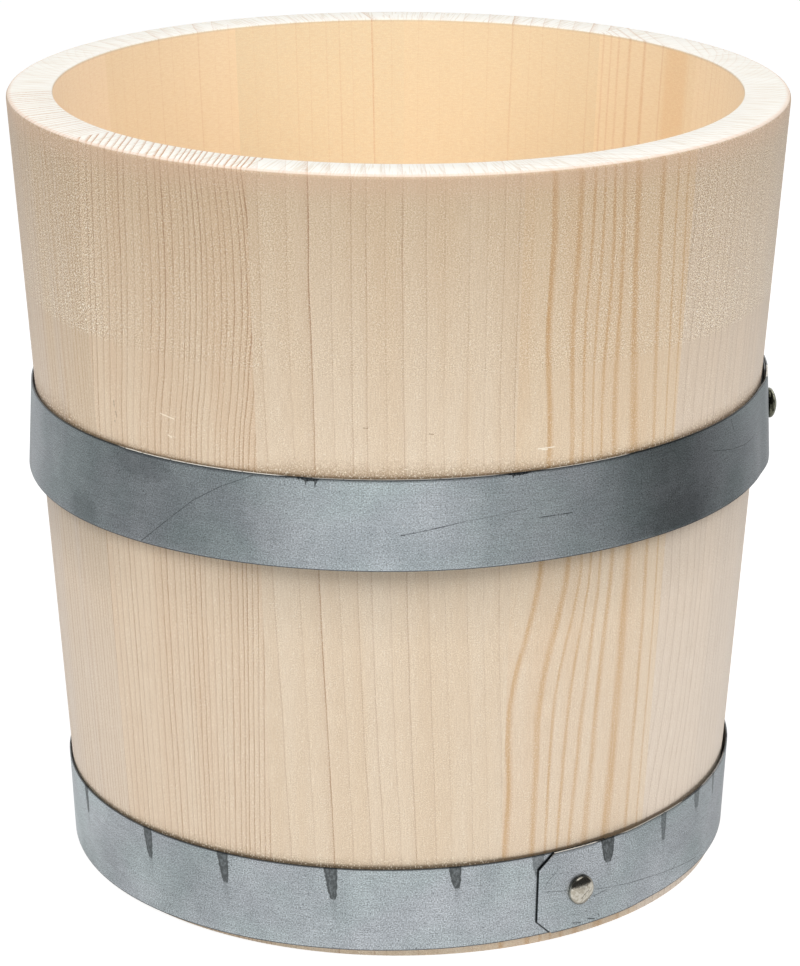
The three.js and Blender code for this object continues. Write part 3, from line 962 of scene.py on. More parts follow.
def stave_finish(name, grain, start, end):
    """Bare spruce: rings through the thickness of the stave, end grain at the rim, grime with painted contact
    shade above the hoops.
    """
    paint = new_finish(name)
    centre = (start + end) / 2
    x, y, z = paint.split(paint.place_in_mm(centre))
    angle = paint.math("ARCTAN2", x, y * -1) * math.degrees(1)
    radius = paint.math("SQRT", x * x + y * y)
    depth = z * ((RIM_RADIUS - FOOT_RADIUS) / HEIGHT) + FOOT_RADIUS / MM - radius
    half = (end - start) / 2
    across = angle.share(-half, half)
    along = angle * MM_PER_DEGREE

    # Ring coordinate: the angle at which this place's ring meets the face that is seen
    reference = WALL_MM if grain.seen_from_inside else 0.0
    lean = across * (grain.lean[1] - grain.lean[0]) + grain.lean[0]
    ring = angle - lean * (depth - reference)
    if grain.sways:
        ring = unswayed(ring, z * (1 / HEIGHT_MM), grain.sways, centre)
    wander = paint.noise((along * 0.06, grain.seed, z * 0.02))
    shake = paint.noise((along, depth, z * 0.12), scale=1.4)
    ring = ring + (wander - 0.5) * RING_WANDER + (shake - 0.5) * RING_SHAKE
    part, strength, line = ring_lines(paint, grain, ring, start, end, reference)
    patchy = paint.noise((along * 0.7, depth, z * 0.035), 3.0)
    line = line * strength * patchy.between(0.25, 0.7, 0.6, 1.15)

    # Colour along and across the grain
    broad = paint.noise((along * 0.11, grain.seed, z * 0.008), 3.0)
    if grain.fade:
        broad = broad + (across - 0.5) * grain.fade
    wood = paint.blend(broad.between(0.3, 0.7), tone(grain.pale), tone(grain.warm))
    if grain.paler_below:
        wood = wood.coated(z.between(*LOWER_HALF, 0, grain.paler_below), PALER_WOOD)
    wood = wood.coated(part * part * strength * 0.22, grain.line_tone).coated(line, grain.line_tone)
    fibre = paint.noise((along * 3.4, depth * 3.4, z * 0.16))
    wood = wood.coated(fibre.between(0.25, 0.75, 0.22, 0.0), FIBRE_SHADE)

    # Raised fibres, thicker where the wall was only sanded near the rim: pale fibres lightened further by
    # painted glints, and pits darkened by painted shade
    outside = depth.between(*OUTER_FACE)
    speck = paint.noise((along, depth, z * 1.1), 0.4, scale=2.9)
    dots = paint.noise((along, depth, z * 0.9), 0.0, scale=1.9)
    tufts = paint.noise((along * 0.3, depth, z * 0.06))
    turn_share = angle.share(ROUND_START - centre, ROUND_START + ROUND_SPAN - centre)
    fuzz = z.between(*ROUGH_BAND) * round_curve(turn_share, RAISED_FIBRES) + LEAST_FUZZ
    fuzz = fuzz * outside * tufts.between(0.35, 0.65, 0.7, 1.2)
    wood = wood.coated(speck.between(0.5, 0.34) * fuzz * 0.8, FIBRE_PIT_SHADE)
    wood = wood.coated(speck.between(0.52, 0.66) * fuzz, FIBRE_PALE_AND_GLINT)
    wood = wood.coated(dots.between(0.66, 0.74) * fuzz * 0.8, FIBRE_TIP_AND_GLINT)
    wood = wood.coated(line * fuzz.between(0.2, 0.6, 0, 0.55), grain.line_tone)
    # Painted shade: the outer wall darker towards the rim
    wood = paint.blend(z.share(*RIM_SHADE_BAND) * outside, wood, RIM_PAINTED_SHADE, "MULTIPLY")

    # End grain of the rim, with painted shade on its rounded outer edge
    rim = z.between(*RIM_FACE)
    rays = paint.noise((along * 1.7, depth * 0.08, grain.seed), 1.0)
    end_grain = paint.blend(rays.between(0.47, 0.36, 0, 0.5), tone(END_WOOD), tone(END_RAY))
    ragged = paint.noise((along * 2.2, depth, z * 0.5), 3.0, 0.6)
    late = part.between(0.5, 0.95) * strength * ragged.between(0.4, 0.65, 0.15, 0.8)
    end_line = paint.math("MULTIPLY", (line ** 0.7).larger(late), grain.rim_lines, clamp=True)
    # Pinker, darker band just below the rim: painted shade of its rounded outer edge
    pink_shade_band = z.between(*PINK_RIM_SHADE_BAND) * outside * ragged.between(0.3, 0.7, 0.25, 0.6)
    wood = wood.coated(pink_shade_band, PINK_RIM_SHADE)
    wood = paint.blend(rim, wood, end_grain.coated(end_line, END_RING))
    # Torn fibres turned over the rim's outer edge, deepened by painted shade of the rounding
    torn = (depth + (ragged - 0.5) * 2.4).between(1.9, 0.5)
    wood = wood.coated(torn * rim * ragged.between(0.35, 0.65, 0.5, 0.95), TURNED_OVER_WOOD_AND_SHADE)

    # Inside, paler and warmer, partly as painted bounce light that evens out the shade inside the bucket,
    # with fine marks of the cutter round the wall
    inner = depth.between(*INNER_FACE) * z.between(*BELOW_RIM_FACE)
    cutter = paint.noise((along * 0.4, 0, z * 2.6), 3.0, 0.6)
    lining = wood.coated(0.9, grain.inside)
    for middle, half_width, share in grain.bands:
        off = abs(ring - (middle - centre)) + (ragged - 0.5)
        lining = lining.coated(off.between(half_width, half_width * 0.5, 0, share), INNER_BAND)
    lining = lining.coated(line * 0.62, INNER_RING)
    lining = lining.coated(cutter.between(0.35, 0.65, 0.24, 0.0), CUTTER_SHADE)
    lining = lining.coated(speck.between(0.5, 0.68, 0, 0.3), CUTTER_GLEAM)
    wood = paint.blend(inner, wood, lining)

    # What the hoops have left on the wall, with painted contact shade above them and painted shadow below the
    # upper hoop, over the angle of the whole bucket
    aside = paint.split(paint.place_in_mm())[0] / radius
    smudge = paint.noise((along * 0.55, 0, z * 0.7), 4.0, 0.6)
    noises = (smudge, speck.between(0.62, 0.42, 0.5, 1.0), dots)
    for hoop in (UPPER_HOOP, LOWER_HOOP):
        wood = stained_and_shaded(wood, hoop, (z, aside, outside), turn_share, noises)
    # Painted shadow of the upper hoop, with some dirt, on the wall below it
    below = aside * (UPPER_HOOP.dip / MM) + UPPER_HOOP.height / MM - z
    under = below.share(SHADE_UNDER_HOOP_REACH, 1) * below.between(-1, 0)
    under = under * round_curve(turn_share, UNDER_HOOP_SHADE_SHARES)
    wood = paint.blend(under * outside, wood, UNDER_HOOP_SHADE_AND_DIRT, "MULTIPLY")
    sheet = paint.vector(along, z, 0)
    for (first, low_end), (last, high_end), width, shade in grain.nicks:
        ends = [((first - centre) * MM_PER_DEGREE, low_end), ((last - centre) * MM_PER_DEGREE, high_end)]
        off = paint.away_from(sheet, ends) + (speck - 0.5) * 0.3
        wood = wood.coated(off.between(width, width * 0.3, 0, 0.75) * outside, shade)
    relief = fibre * 0.45 + speck * fuzz * 1.3 + inner * cutter * 0.35 - line * 0.5
    return paint.done(
        base_color=wood, roughness=fibre.between(0.2, 0.8, 0.78, 0.62), specular_ior_level=0.3,
        sheen_weight=0.2, normal=paint.bump(relief, 0.5, 0.12 * MM),
    )


def board_finish():
    """Bottom boards: rings running along the boards, duller than the wall."""
    paint = new_finish("bottom_boards_spruce")
    x, y, z = paint.split(paint.place_in_mm())
    sway = paint.noise((x * 0.012, y * 0.03, 0))
    line = (y * 0.34 + sway * 7.0 + z * 0.12).fraction().share(0.62, 1.0) ** 1.6
    line = line * paint.noise((x * 0.03, y * 0.5, z), 3.0).between(0.25, 0.7, 0.25, 0.8)
    broad = paint.noise((x * 0.01, y * 0.06, 0), 3.0)
    wood = paint.blend(broad.between(0.3, 0.7), tone((228, 205, 172)), tone((219, 190, 152)))
    wood = wood.coated(line, (176, 130, 86))
    fibre = paint.noise((x * 0.16, y * 3.2, z * 3.2))
    wood = wood.coated(fibre.between(0.25, 0.75, 0.2, 0.0), (168, 134, 100))
    return paint.done(
        base_color=wood, roughness=fibre.between(0.2, 0.8, 0.8, 0.66), specular_ior_level=0.3,
        normal=paint.bump(fibre * 0.6 - line * 0.4, 0.45, 0.1 * MM),
    )


def dowel_finish():
    """Turned beech with its short dark flecks."""
    paint = new_finish("dowels_beech")
    x, y, z = paint.split(paint.place_in_mm())
    fleck = paint.noise((x * 3.0, y * 0.5, z * 3.0))
    broad = paint.noise((x * 0.3, y * 0.05, z * 0.3))
    wood = paint.blend(broad, tone((212, 172, 128)), tone((196, 150, 104)))
    wood = wood.coated(fleck.between(0.56, 0.68, 0.0, 0.6), (136, 92, 58))
    roughness = fleck.between(0.3, 0.7, 0.6, 0.7)
    return paint.done(base_color=wood, roughness=roughness, normal=paint.bump(fleck, 0.3, 0.05 * MM))


GREENISH = (0.95, 1.0, 0.975, 1)
CLOUD_RELIEF = 0.05
HALF_STRIP = STRIP_WIDTH / MM / 2

# Where each band along the strip's edges begins and is whole, in mm from the middle of the strip
CUT_EDGE = (HALF_STRIP - 0.45, HALF_STRIP - 0.15)
BARE_EDGE = (HALF_STRIP - 0.16, HALF_STRIP - 0.08)
BELOW_EDGE = (HALF_STRIP - 1.1, HALF_STRIP - 0.7)


@dataclass
class Steel:
    """Look of a hoop's strip. Scratches and smudges are drawn on the flat strip, in mm."""

    dark: tuple
    light: tuple
    speck: tuple
    worn: tuple
    grit: float
    pitted: float
    roughness: float
    scratches: list = field(default_factory=list)
    smudges: list = field(default_factory=list)
    glints: list = field(default_factory=list)


def driver_wear(paint, u, v):
    """Marks of the driver on the upper edge and the streaks below them."""
    nearest = paint.made("Attribute", attribute_name="nearest_mark", output="Vector")
    shifted, half, reach = paint.split(nearest)
    darkness = Value(paint, nearest.socket.node.outputs["Alpha"])
    down = STRIP_WIDTH / MM - v
    tall = reach.between(4, 6)
    ragged = paint.noise((u * 1.3, v * 0.7, 5), 3.0, 0.6)
    leaning = (down - reach * 0.5) * tall * 0.08
    off = abs(shifted - MARK_SHIFT / MM - leaning)
    drips = paint.noise((u * 0.75, 0, 9))
    bottom = reach * drips.between(0.5, 0.66, 0.32, 1.0).larger(tall)
    narrowing = paint.math("SUBTRACT", 1, down / bottom, clamp=True)
    edge = off - half * narrowing ** 0.32 + (ragged - 0.5) * 1.2
    mark = edge.between(0.12, -0.25) * narrowing.between(0.0, 0.08)
    mark = mark * ragged.between(0.4, 0.6, 1.0, 0.7).larger(edge.between(-1.0, -0.3)) * darkness
    streak_length = down.between(reach * 2.1, reach * 0.7)
    return mark.larger(off.between(half * 0.75, 0.1) * streak_length * tall * darkness * 0.26)


def strip_finish(name, steel, hoop):
    """Galvanised strip: cloudy zinc, fine dark grain, driver marks on its upper edge and scratches."""
    paint = new_finish(name)
    flat = paint.made("UVMap", uv_map="flat_strip")
    sheet = paint.vectors("SCALE", flat, None, None, 1 / MM)
    u, v = paint.split(sheet)[:2]
    clouds = paint.noise((u * 0.05, v * 0.03, 3), 3.0, 0.55)
    crystals = paint.noise((u * 0.35, v * 0.5, 7), 3.0, 0.6)
    grain = paint.noise((u * 2.5, v * 3.1, 11), 1.0)
    pits = paint.noise((u * 1.3, v * 2.1, 17))
    drawn = paint.noise((u * 0.1, v * 2.4, 41))
    zinc = paint.blend(clouds.between(0.3, 0.7), tone(steel.dark), tone(steel.light))
    tint = paint.noise((u * 0.035, v * 0.05, 29))
    zinc = paint.blend(tint.between(0.35, 0.65), zinc, GREENISH, "MULTIPLY")
    broken = grain + (crystals - 0.5) * 0.2 + (drawn - 0.5) * 0.2
    zinc = paint.blend(1.0, zinc, broken.share(0.25, 0.75, 1 - steel.grit, 1 + steel.grit), "MULTIPLY")
    zinc = zinc.coated(pits.between(0.64, 0.72, 0, steel.pitted), steel.speck)
    zinc = paint.blend(pits.between(0.33, 0.27, 0, steel.pitted), zinc, grey(0.86))
    for (middle_u, middle_v), (wide, high), strength in steel.smudges:
        off_u = (u - middle_u) * (1 / wide)
        off_v = (v - middle_v) * (1 / high)
        off = off_u * off_u + off_v * off_v + (crystals - 0.5)
        zinc = zinc.coated(off.between(1.2, 0.1, 0, strength), steel.speck)
    wear = driver_wear(paint, u, v)
    zinc = zinc.coated(wear, steel.worn)
    uneven = crystals.between(0.35, 0.6, 0.45, 1.1)
    for points, width, strength in steel.scratches:
        scored = paint.away_from(sheet, points).between(width, width * 0.3, 0, strength)
        zinc = zinc.coated(scored * uneven, SCRATCH)

    # Painted shadow along the end of the outer layer, on the layer below it
    turn = math.radians(FULL_TURN) * outer_radius(hoop.height) / MM
    corner = CORNER_CUT / MM
    before_end = turn - u
    at_foot = before_end + corner - v
    at_top = before_end + (v - (STRIP_WIDTH / MM - corner))
    past_end = before_end.larger(at_foot.larger(at_top) * 0.707)
    zinc = zinc.coated(past_end.between(0.62, 0.3, 0, 0.9), LAP_PAINTED_SHADOW)

    # Sheared edges, dark for the most part, with painted glints on stretches of the upper edge, which are not
    # metallic so that the lamps light them white
    from_middle = abs(v - HALF_STRIP)
    cut_edge = from_middle.between(*CUT_EDGE)
    bare_edge = from_middle.between(*BARE_EDGE)
    below_bright = from_middle.between(*BELOW_EDGE)
    glint_breaks = paint.noise((u * 0.6, 0, 23), 3.0, 0.6).between(0.3, 0.45)
    at_upper_edge = v.between(STRIP_WIDTH / MM - 2, STRIP_WIDTH / MM - 1)
    sheared, painted_glint = tone(SHEARED_EDGE), 0.0
    for middle, reach, strength in steel.glints:
        bright = abs(u - middle).between(reach, reach * 0.8, 0, strength) * glint_breaks * at_upper_edge
        zinc = zinc.coated(bright * below_bright * 0.5, UNDER_GLINT)
        bright = bright * bare_edge
        sheared = paint.blend(bright, sheared, tone(PAINTED_EDGE_GLINT))
        painted_glint = bright.larger(painted_glint)
    zinc = paint.blend(cut_edge * 0.85, zinc, sheared)
    soft = paint.bump(clouds, CLOUD_RELIEF, 1.6 * MM)
    return paint.done(
        base_color=zinc, metallic=1.0 - painted_glint * cut_edge,
        roughness=(crystals - 0.5) * 0.1 + steel.roughness + wear * 0.2,
        normal=paint.bump(grain - wear * 1.5, 0.4, 0.05 * MM, soft),
    )


def rivet_finish(name, bright, dull, roughness):
    """Plated rivet, dirty and darkened by painted shade where the head meets the strip."""
    paint = new_finish(name)
    spots = paint.noise(paint.place_in_mm(), 3.0, 0.55, 0.9)
    metal = paint.blend(spots.between(0.45, 0.6), tone(bright), tone(dull))
    ring = paint.made("Attribute", attribute_name="from_axis", output="Fac")
    # Grime and painted shade round the foot of the head
    metal = metal.coated(ring.between(0.86, 1.0) * spots.between(0.3, 0.6, 0.9, 0.4), RIVET_GRIME_AND_SHADE)
    return paint.done(
        base_color=metal, metallic=1.0, roughness=spots.between(0.3, 0.7, roughness, roughness + 0.1),
        normal=paint.bump(spots, 0.3, 0.16 * MM),
    )


# Grain of each stave, from the photograph where it shows

DARK_NICK = (110, 88, 74)
PALE_NICK = (255, 244, 226)
STAVE_GRAIN = [
    Grain(
        close_rings(-84, -60, 1.5, 1.2, 0.6, 0.8, 11) + [
            (-59, 0.8, 0.9), (-57.3, 0.5, 0.6), (-56.4, 0.5, 0.65), (-55.6, 0.5, 0.6), (-54.7, 0.6, 0.7),
            (-53.6, 0.6, 0.65), (-52.9, 0.6, 0.6), (-52.2, 0.5, 0.5), (-51.3, 0.5, 0.4),
        ],
        # The paler, greyer tones of this side stave are partly painted sheen of light grazing the wall
        lean=(-0.08, -0.12), rim_lines=1.0, pale=(211, 196, 180), warm=(214, 194, 168), fade=0.5,
        paler_below=0.48, seed=1,
    ),
    Grain(
        close_rings(-51, -20.5, 1.5, 0.75, 0.5, 0.78, 5),
        lean=(-0.5, -0.1), rim_lines=1.9,
        sways=(
            (-50, ((0, -4.4), (0.5, -4.2), (0.62, -3.7), (0.68, -3.4), (0.83, -2.1), (1, 0))),
            (-35, ((0, -4.2), (0.13, -4), (0.5, -3.7), (0.65, -3.2), (0.75, -1.6), (0.88, -0.2), (1, 0))),
            (-22, ((0, -3.6), (0.13, -3.2), (0.5, -1.7), (0.65, -1.3), (0.75, 0), (0.86, 0.9), (1, 0))),
        ),
        pale=(228, 208, 182), warm=(223, 199, 171), line_tone=(170, 130, 96), paler_below=0.16,
        nicks=(
            ((-46.1, 153.4), (-46.1, 151.6), 0.2, DARK_NICK),
            ((-45.9, 150.3), (-45.7, 148.9), 0.2, DARK_NICK),
            ((-46.2, 147.7), (-46.2, 147.2), 0.2, DARK_NICK),
            ((-36.5, 153.5), (-34, 152.7), 0.2, PALE_NICK),
            ((-35.3, 147.8), (-34.6, 147.4), 0.22, PALE_NICK),
        ),
        seed=2,
    ),
    Grain(
        [
            (-18.9, 0.5, 0.38), (-14.95, 0.45, 0.28), (-11.9, 0.6, 1.0), (-9, 0.45, 0.28), (-6.3, 0.5, 0.48),
            (-4.3, 0.5, 0.42), (-1.65, 0.45, 0.28), (0.7, 0.5, 0.5), (3.8, 0.5, 0.34), (6.3, 0.4, 0.2),
            (9.6, 0.45, 0.26), (12, 0.4, 0.22), (14.3, 0.5, 0.34), (16.4, 0.5, 0.4),
        ],
        lean=(-0.2, 0.13), rim_lines=0.8,
        sways=(
            (-20.5, ((0, 2.1), (0.12, 1.8), (0.3, 0.95), (0.5, 0.3), (0.64, 0.1), (0.85, -0.1), (1, 0))),
            (17, ((0, 3.7), (0.12, 3.3), (0.3, 2.1), (0.5, 1.0), (0.64, 0.5), (0.85, 0.2), (1, 0))),
        ),
        pale=(230, 213, 190), warm=(226, 206, 180), line_tone=(160, 116, 80),
        nicks=(
            ((-4.8, 156.1), (-4.2, 156.1), 0.2, (150, 120, 92)),
            ((4.4, 154.5), (5, 154.4), 0.2, (160, 130, 100)),
        ),
        seed=3,
    ),
    Grain(
        [
            (18.2, 0.5, 0.12), (21.9, 3.6, 0.9), (25.8, 2.0, 0.6), (27.6, 1.6, 0.6), (29.0, 0.9, 0.55),
            (30.6, 1.5, 0.6), (32.3, 1.9, 0.6), (34.9, 2.7, 0.7), (39.1, 1.8, 0.5), (41.7, 1.4, 0.5),
            (43.7, 1.2, 0.5),
        ],
        lean=(-1.0, -0.5), rim_lines=0.3, soft_rings=True,
        sways=(
            (21.8, (
                (0, -3.6), (0.13, -3.5), (0.22, -3.3), (0.31, -3.8), (0.35, -3.3), (0.42, -1.5), (0.47, -0.2),
                (0.51, 0.4), (0.65, 1.0), (0.8, 0), (0.93, 0.2), (1, 0),
            )),
            (27.5, (
                (0, -2.5), (0.13, -2.35), (0.3, -2.2), (0.35, -1.8), (0.4, -0.9), (0.45, 0.3), (0.51, 1.2),
                (0.65, 0.43), (0.8, -0.35), (0.9, 0), (1, 0),
            )),
            (30.5, (
                (0, -1.6), (0.13, -1.07), (0.3, 0.2), (0.4, 0.85), (0.51, 1.7), (0.65, 0.5), (0.75, 0),
                (0.85, 0.5), (1, 0),
            )),
            (34.8, (
                (0, 2.4), (0.13, 2.6), (0.3, 3.1), (0.51, 3.1), (0.65, 2.6), (0.75, 1.5), (0.88, 0.4), (1, 0),
            )),
            (43.6, ((0, 2.0), (0.4, 1.9), (0.51, 1.6), (0.65, 1.15), (0.83, 0.64), (1, 0))),
        ),
        pale=(229, 209, 182), warm=(225, 200, 169), line_tone=(203, 162, 112), paler_below=0.28,
        nicks=(
            ((20.4, 148.35), (22.9, 148.4), 0.2, (255, 248, 234)),
            ((21, 148.0), (21.9, 147.95), 0.18, (255, 248, 234)),
        ),
        seed=4,
    ),
    Grain(
        [
            (45.9, 0.6, 0.4), (48.05, 0.7, 0.4), (50.2, 0.7, 0.42), (52.3, 0.7, 0.4), (53.8, 0.6, 0.45),
            (55.5, 0.7, 0.5), (57.5, 0.5, 0.35), (59.4, 0.6, 0.4), (60.9, 0.7, 0.5), (62.4, 0.4, 0.3),
            (64.1, 0.7, 0.45), (65.1, 0.6, 0.4), (66.6, 0.6, 0.4), (68.6, 0.6, 0.4), (70.3, 0.6, 0.35),
        ] + close_rings(71, 80, 1.3, 1.1, 0.5, 0.3, 8),
        lean=(-0.5, -0.15), rim_lines=0.6,
        sways=(
            (46, (
                (0, -2.6), (0.14, -1.9), (0.28, 0.4), (0.33, 0.9), (0.42, 1.4), (0.5, 0.9), (0.7, -1.4),
                (0.77, -1.3), (0.9, -0.2), (1, 0),
            )),
            (52, (
                (0, -2.4), (0.14, -1.6), (0.28, 0.7), (0.4, 1.4), (0.5, 0.8), (0.65, -0.8), (0.75, -0.5),
                (0.9, 0), (1, 0),
            )),
            (60, ((0, -1.6), (0.14, -1), (0.28, -0.1), (0.4, 0.4), (0.5, 0.2), (0.65, -0.3), (1, 0))),
            (76, ((0, -0.3), (1, 0))),
        ),
        # The paler, greyer tones of this side stave are partly painted sheen of light grazing the wall
        pale=(222, 205, 186), warm=(212, 197, 181), line_tone=(168, 140, 114), fade=0.6, paler_below=0.6,
        seed=5,
    ),
    Grain(
        close_rings(80, 115.5, 1.3, 2.4, 0.5, 0.4, 21),
        lean=(-0.3, -0.9), seen_from_inside=True, rim_lines=0.4, inside=(255, 231, 196), seed=6,
    ),
    Grain(
        [
            (113.6, 0.9, 0.4), (118, 0.5, 0.2), (126, 1.2, 0.4), (131, 2.4, 0.6), (134.5, 1.9, 0.5),
            (137, 1.4, 0.4), (138.7, 1.1, 0.4),
        ],
        lean=(-1.6, -0.8), seen_from_inside=True, rim_lines=0.6, line_tone=(206, 152, 100),
        bands=((121.6, 4.2, 0.45),), soft_rings=True, inside=(251, 226, 189), seed=7,
    ),
    Grain(
        [
            (143.3, 0.8, 0.45), (147, 0.5, 0.2), (150, 0.5, 0.25), (153, 0.5, 0.25), (155.5, 0.5, 0.25),
            (159, 0.8, 0.5), (163.5, 0.5, 0.22), (168, 0.5, 0.15), (172.5, 0.5, 0.15), (176.5, 0.5, 0.2),
        ],
        lean=(-0.33, 0.02), seen_from_inside=True, rim_lines=1.2, inside=(244, 221, 184), seed=8,
    ),
    Grain(
        [
            (181.5, 0.5, 0.25), (185, 0.75, 1.0), (188.7, 0.5, 0.25), (191, 0.6, 0.45), (193.5, 0.5, 0.35),
            (196.7, 0.5, 0.35), (199.3, 0.5, 0.35), (203, 0.5, 0.2), (207.5, 0.5, 0.2),
        ],
        lean=(-0.15, 0.06), seen_from_inside=True, rim_lines=0.7, line_tone=(190, 124, 88),
        sways=((180, ((0, -1.6), (0.7, -0.5), (1, 0))), (210, ((0, -1.2), (0.7, -0.4), (1, 0)))), seed=9,
    ),
    Grain(
        [
            (212.5, 0.5, 0.25), (215.5, 0.5, 0.22), (219, 0.7, 0.45), (222.5, 0.5, 0.25), (225, 0.5, 0.25),
            (228, 0.7, 0.4), (231.5, 0.5, 0.25), (235, 0.5, 0.25), (238, 0.5, 0.3), (241, 0.5, 0.3),
        ],
        lean=(0.3, 0.15), seen_from_inside=True, rim_lines=0.9, inside=(250, 225, 189), seed=10,
    ),
    Grain(
        close_rings(243, 276, 2.2, 1.5, 0.5, 0.35, 31),
        lean=(0.8, 0.1), seen_from_inside=True, rim_lines=0.4, inside=(255, 230, 198), seed=12,
    ),
]


# Places of scratches are distances along and up the flat strip from its visible end, in mm
def strip_place(hoop, angle, up):
    return (along_strip(hoop, angle) / MM, up)


def scratches(hoop, rows):
    return [
        ([strip_place(hoop, angle, up) for angle, up in places], width, strength)
        for places, width, strength in rows
    ]


def smudges(hoop, rows):
    return [(strip_place(hoop, angle, up), size, strength) for angle, up, size, strength in rows]


def glints(hoop, rows):
    """Stretches of the upper edge with a painted glint: middle and half length in mm, strength."""
    found = []
    for first, last, strength in rows:
        ends = along_strip(hoop, first) / MM, along_strip(hoop, last) / MM
        found.append((sum(ends) / 2, abs(ends[1] - ends[0]) / 2, strength))
    return found


UPPER_SCRATCHES = scratches(UPPER_HOOP, [
    (((-40, 0.5), (-30.7, 15), (-26, 20.2), (-21, 24.3)), 0.17, 0.62),
    (((0.5, 9.9), (9.3, 13)), 0.2, 0.85), (((9.3, 13), (18.7, 15)), 0.15, 0.4),
    (((20.5, 12.1), (25.6, 12.1)), 0.2, 0.8),
    (((53.9, 17.7), (59.2, 15.4), (65, 13.8), (69, 13.7)), 0.16, 0.55),
    (((59.5, 23.9), (60.5, 20.2)), 0.2, 0.6),
    (((-110, 4), (-122, 11)), 0.18, 0.6), (((-160, 18), (-171, 15.5), (-180, 15)), 0.16, 0.5),
])
LOWER_SCRATCHES = scratches(LOWER_HOOP, [
    (((24.5, 13.5), (28.7, 12.3)), 0.17, 0.6), (((34.2, 10.2), (52, 5.3), (62.5, 2.4)), 0.17, 0.6),
    (((51.5, 2.7), (55, 6.3)), 0.17, 0.55), (((27.2, 20.2), (25, 16.6), (24.5, 14.5)), 0.15, 0.45),
    (((-40, 11), (-40.5, 6.3), (-42.2, 2.2)), 0.15, 0.45), (((-30, 14.6), (-20.5, 14.5)), 0.14, 0.4),
    (((33.8, 8.2), (36.5, 8.9)), 0.2, 0.6), (((30, 1.6), (31.5, 1.0)), 0.3, 0.7),
    (((33, 1.6), (34.3, 0.9)), 0.3, 0.7), (((35, 2.2), (35.3, 1.2)), 0.25, 0.6),
    (((-12, 6), (-11.4, 6.3)), 0.25, 0.6), (((-8.3, 8.6), (-7.6, 8.4)), 0.25, 0.6),
    (((120, 18), (131, 12), (139, 10)), 0.17, 0.55), (((200, 6), (214, 9)), 0.16, 0.5),
])
UPPER_SMUDGES = smudges(UPPER_HOOP, [
    (-53.5, 2, (8, 7), 0.2), (-41, 22, (12, 5), 0.22), (45, 4, (14, 8), 0.2), (-132, 6, (12, 8), 0.25),
])
UPPER_GLINTS = glints(UPPER_HOOP, [(-46, -15, 0.85), (-14, 16, 0.5), (21, 36, 0.55), (80, 87, 0.9)])
LOWER_GLINTS = glints(LOWER_HOOP, [
    (-76, -34, 0.6), (25, 34.5, 0.7), (38.5, 56, 0.5), (62, 78, 0.3), (200, 216, 0.5),
])
UPPER_STEEL = Steel(
    dark=(181, 189, 194), light=(205, 211, 216), speck=(66, 72, 78), worn=(76, 80, 82), grit=0.46, pitted=0.6,
    roughness=0.34, scratches=UPPER_SCRATCHES, smudges=UPPER_SMUDGES, glints=UPPER_GLINTS,
)
LOWER_STEEL = Steel(
    dark=(188, 194, 199), light=(208, 213, 218), speck=(78, 84, 90), worn=(116, 121, 122), grit=0.52,
    pitted=0.7, roughness=0.42, scratches=LOWER_SCRATCHES, glints=LOWER_GLINTS,
)


# Studio

WHITE = grey(1)
AMBIENT = 0.32
FLOOR_GLOW = 0.17
GLOW_REACH = 0.45
NEAR_FLOOR = 0.2
FAR_FLOOR = 0.36
DIM = 0.03
LIT_FLOOR = grey(0.86)
SHOWN_FLOOR = grey(0.34)
SHOWN_GLOW = 0.84

# Brightness of the studio floor as polished metal sees it, round the bucket: angle from the front, level
FAR_LEVELS = [
    (-180, 0.75), (-126, 0.5), (-98, 0.34), (-77, 0.34), (-56, 0.42), (-36, 0.6), (-20, 0.88), (0, 1.0),
    (20, 0.72), (39, 0.46), (56, 0.42), (77, 0.07), (98, 0.16), (126, 0.36), (180, 0.75),
]
NEAR_LEVELS = [
    (-180, 0.74), (-120, 0.74), (-100, 0.8), (-80, 0.81), (-73, 0.62), (-66, 0.61), (-60, 0.65), (-53, 0.73),
    (-49, 0.68), (-45, 0.6), (-37, 0.75), (-30, 0.77), (0, 0.82), (14, 0.82), (25, 0.75), (42, 0.69),
    (48, 0.68), (56, 0.72), (70, 0.58), (100, 0.56), (130, 0.6), (180, 0.74),
]


def shown(paint, to_eye, plain, mirrored):
    """One shader for the eye, one that lights the bucket and one that polished metal sees."""
    rays = paint.made("LightPath").socket.node.outputs
    camera, glossy, through = (
        Value(paint, rays[f"Is {kind} Ray"]) for kind in ("Camera", "Glossy", "Transmission")
    )
    unseen = paint.made("MixShader", glossy, plain, mirrored)
    surface = paint.nodes[f"{paint.owner.bl_rna.name} Output"].inputs["Surface"]
    paint.feed(surface, paint.made("MixShader", camera.larger(through), unseen, to_eye))
    return paint.owner


def studio_world():
    """White all round for the eye. Polished metal sees a white backdrop and ceiling and a dim room."""
    paint = Finish(bpy.data.worlds.new("studio"))
    paint.nodes.remove(paint.nodes["Background"])
    back, up = paint.split(paint.made("TexCoord", output="Generated"))[1:]
    lit = back.share(0.4, 0.7).larger(up.share(0.86, 0.96))
    mirrored = paint.made("Background", lit.share(0, 1, DIM))
    plain = paint.made("Background", WHITE, AMBIENT)
    bpy.context.scene.world = shown(paint, paint.made("Background", WHITE), plain, mirrored)


